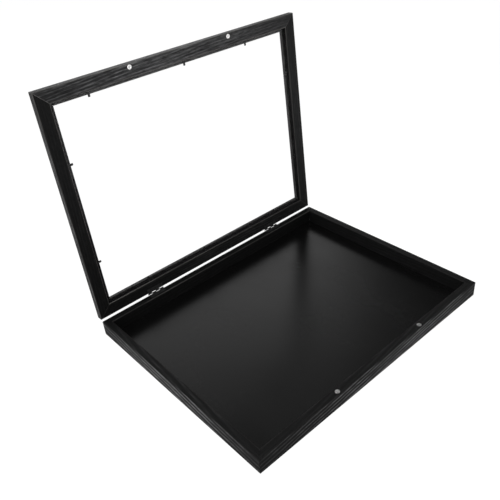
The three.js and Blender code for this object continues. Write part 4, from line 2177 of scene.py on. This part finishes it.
@dataclass(frozen=True)
class Lamp:
    """A soft square lamp.

    Attributes:
        name: its name.
        place: where it hangs.
        aim: the point that it faces.
        size: the length of its side.
        power: its power in watts.
    """

    name: str
    place: Triple
    aim: Triple
    size: float
    power: float

    def build(self) -> None:
        """Adds the lamp."""
        light = bpy.data.lights.new(self.name, "AREA")
        light.energy = self.power
        light.size = self.size
        lamp = add_object(self.name, light)
        lamp.location = self.place
        away = Vector(self.place) - Vector(self.aim)
        lamp.rotation_euler = away.to_track_quat("Z", "Y").to_euler()
        LOG.info("%s: %.1f W", self.name, self.power)


@dataclass(frozen=True)
class PhotoCamera:
    """The camera at the photo's angle. Its angles are in degrees.

    Attributes:
        azimuth: how far round from the free edge it stands, to the left where it is negative.
        elevation: how far it stands above the floor.
        roll: how far it is turned about its own line of sight.
        distance: how far it stands from aim.
        aim: the point that it looks at.
        focal_pixels: its focal length in pixels of the photo.
        image_pixels: the width of the photo.
        centre_pixels: where its line of sight meets the photo.
        sensor: the width of its sensor in millimetres.
    """

    azimuth: float = -39.314
    elevation: float = 33.679
    roll: float = -5.050
    distance: float = 1.964525
    aim: Triple = (0.158993, 0.331964, 0.0)
    focal_pixels: float = 609.834
    image_pixels: float = 500.0
    centre_pixels: Pair = (252.70, 244.85)
    sensor: float = 36.0

    def build(self) -> None:
        """Adds the camera."""
        a, e, r = (math.radians(angle) for angle in (self.azimuth, self.elevation, self.roll))
        back = Vector((math.sin(a) * math.cos(e), -math.cos(a) * math.cos(e), math.sin(e)))
        right = Vector((0, 0, 1)).cross(back).normalized()
        up = back.cross(right)
        tilted_right = right * math.cos(r) + up * math.sin(r)
        tilted_up = up * math.cos(r) - right * math.sin(r)
        data = bpy.data.cameras.new("camera")
        data.sensor_width = self.sensor
        data.lens = self.focal_pixels / self.image_pixels * self.sensor
        middle = self.image_pixels / 2
        data.shift_x = (middle - self.centre_pixels[0]) / self.image_pixels
        data.shift_y = (self.centre_pixels[1] - middle) / self.image_pixels
        camera = add_object("camera", data)
        turn = Matrix((tilted_right, tilted_up, back)).transposed().to_4x4()
        camera.matrix_world = Matrix.Translation(Vector(self.aim) + back * self.distance) @ turn
        bpy.context.scene.camera = camera
        LOG.info("camera: lens of %.1f mm", data.lens)


@dataclass(frozen=True)
class Studio:
    """The floor, the surroundings, the lamps and the camera."""

    floor: Floor = Floor()
    sky: Sky = Sky()
    overhead_lamp: Lamp = Lamp(
        "overhead_lamp", place=(-0.3, -0.4, 2.4), aim=(0.0, 0.0, 0.0), size=1.4, power=26.0
    )
    side_lamp: Lamp = Lamp(
        "side_lamp", place=(-2.2, -0.6, 1.2), aim=(0.0, 0.0, 0.2), size=1.2, power=9.1
    )
    camera: PhotoCamera = PhotoCamera()

    def build(self) -> None:
        """Adds the whole studio."""
        for part in (self.floor, self.sky, self.overhead_lamp, self.side_lamp, self.camera):
            part.build()


def main() -> None:
    """Builds the case, half by half, and the studio round it."""
    logging.basicConfig(level=logging.INFO, format="%(name)s: %(message)s")
    bpy.context.scene.view_settings.view_transform = "Standard"
    finishes = make_finishes()
    fasteners = Fasteners(finishes)
    rail_tree = make_rail_tree()
    for kind in (BoxHalf, LidHalf):
        half = kind(CaseSizes(), finishes, fasteners, rail_tree)
        half.build()
        half.dress()
    Studio().build()


if __name__ == "__main__":
    main()
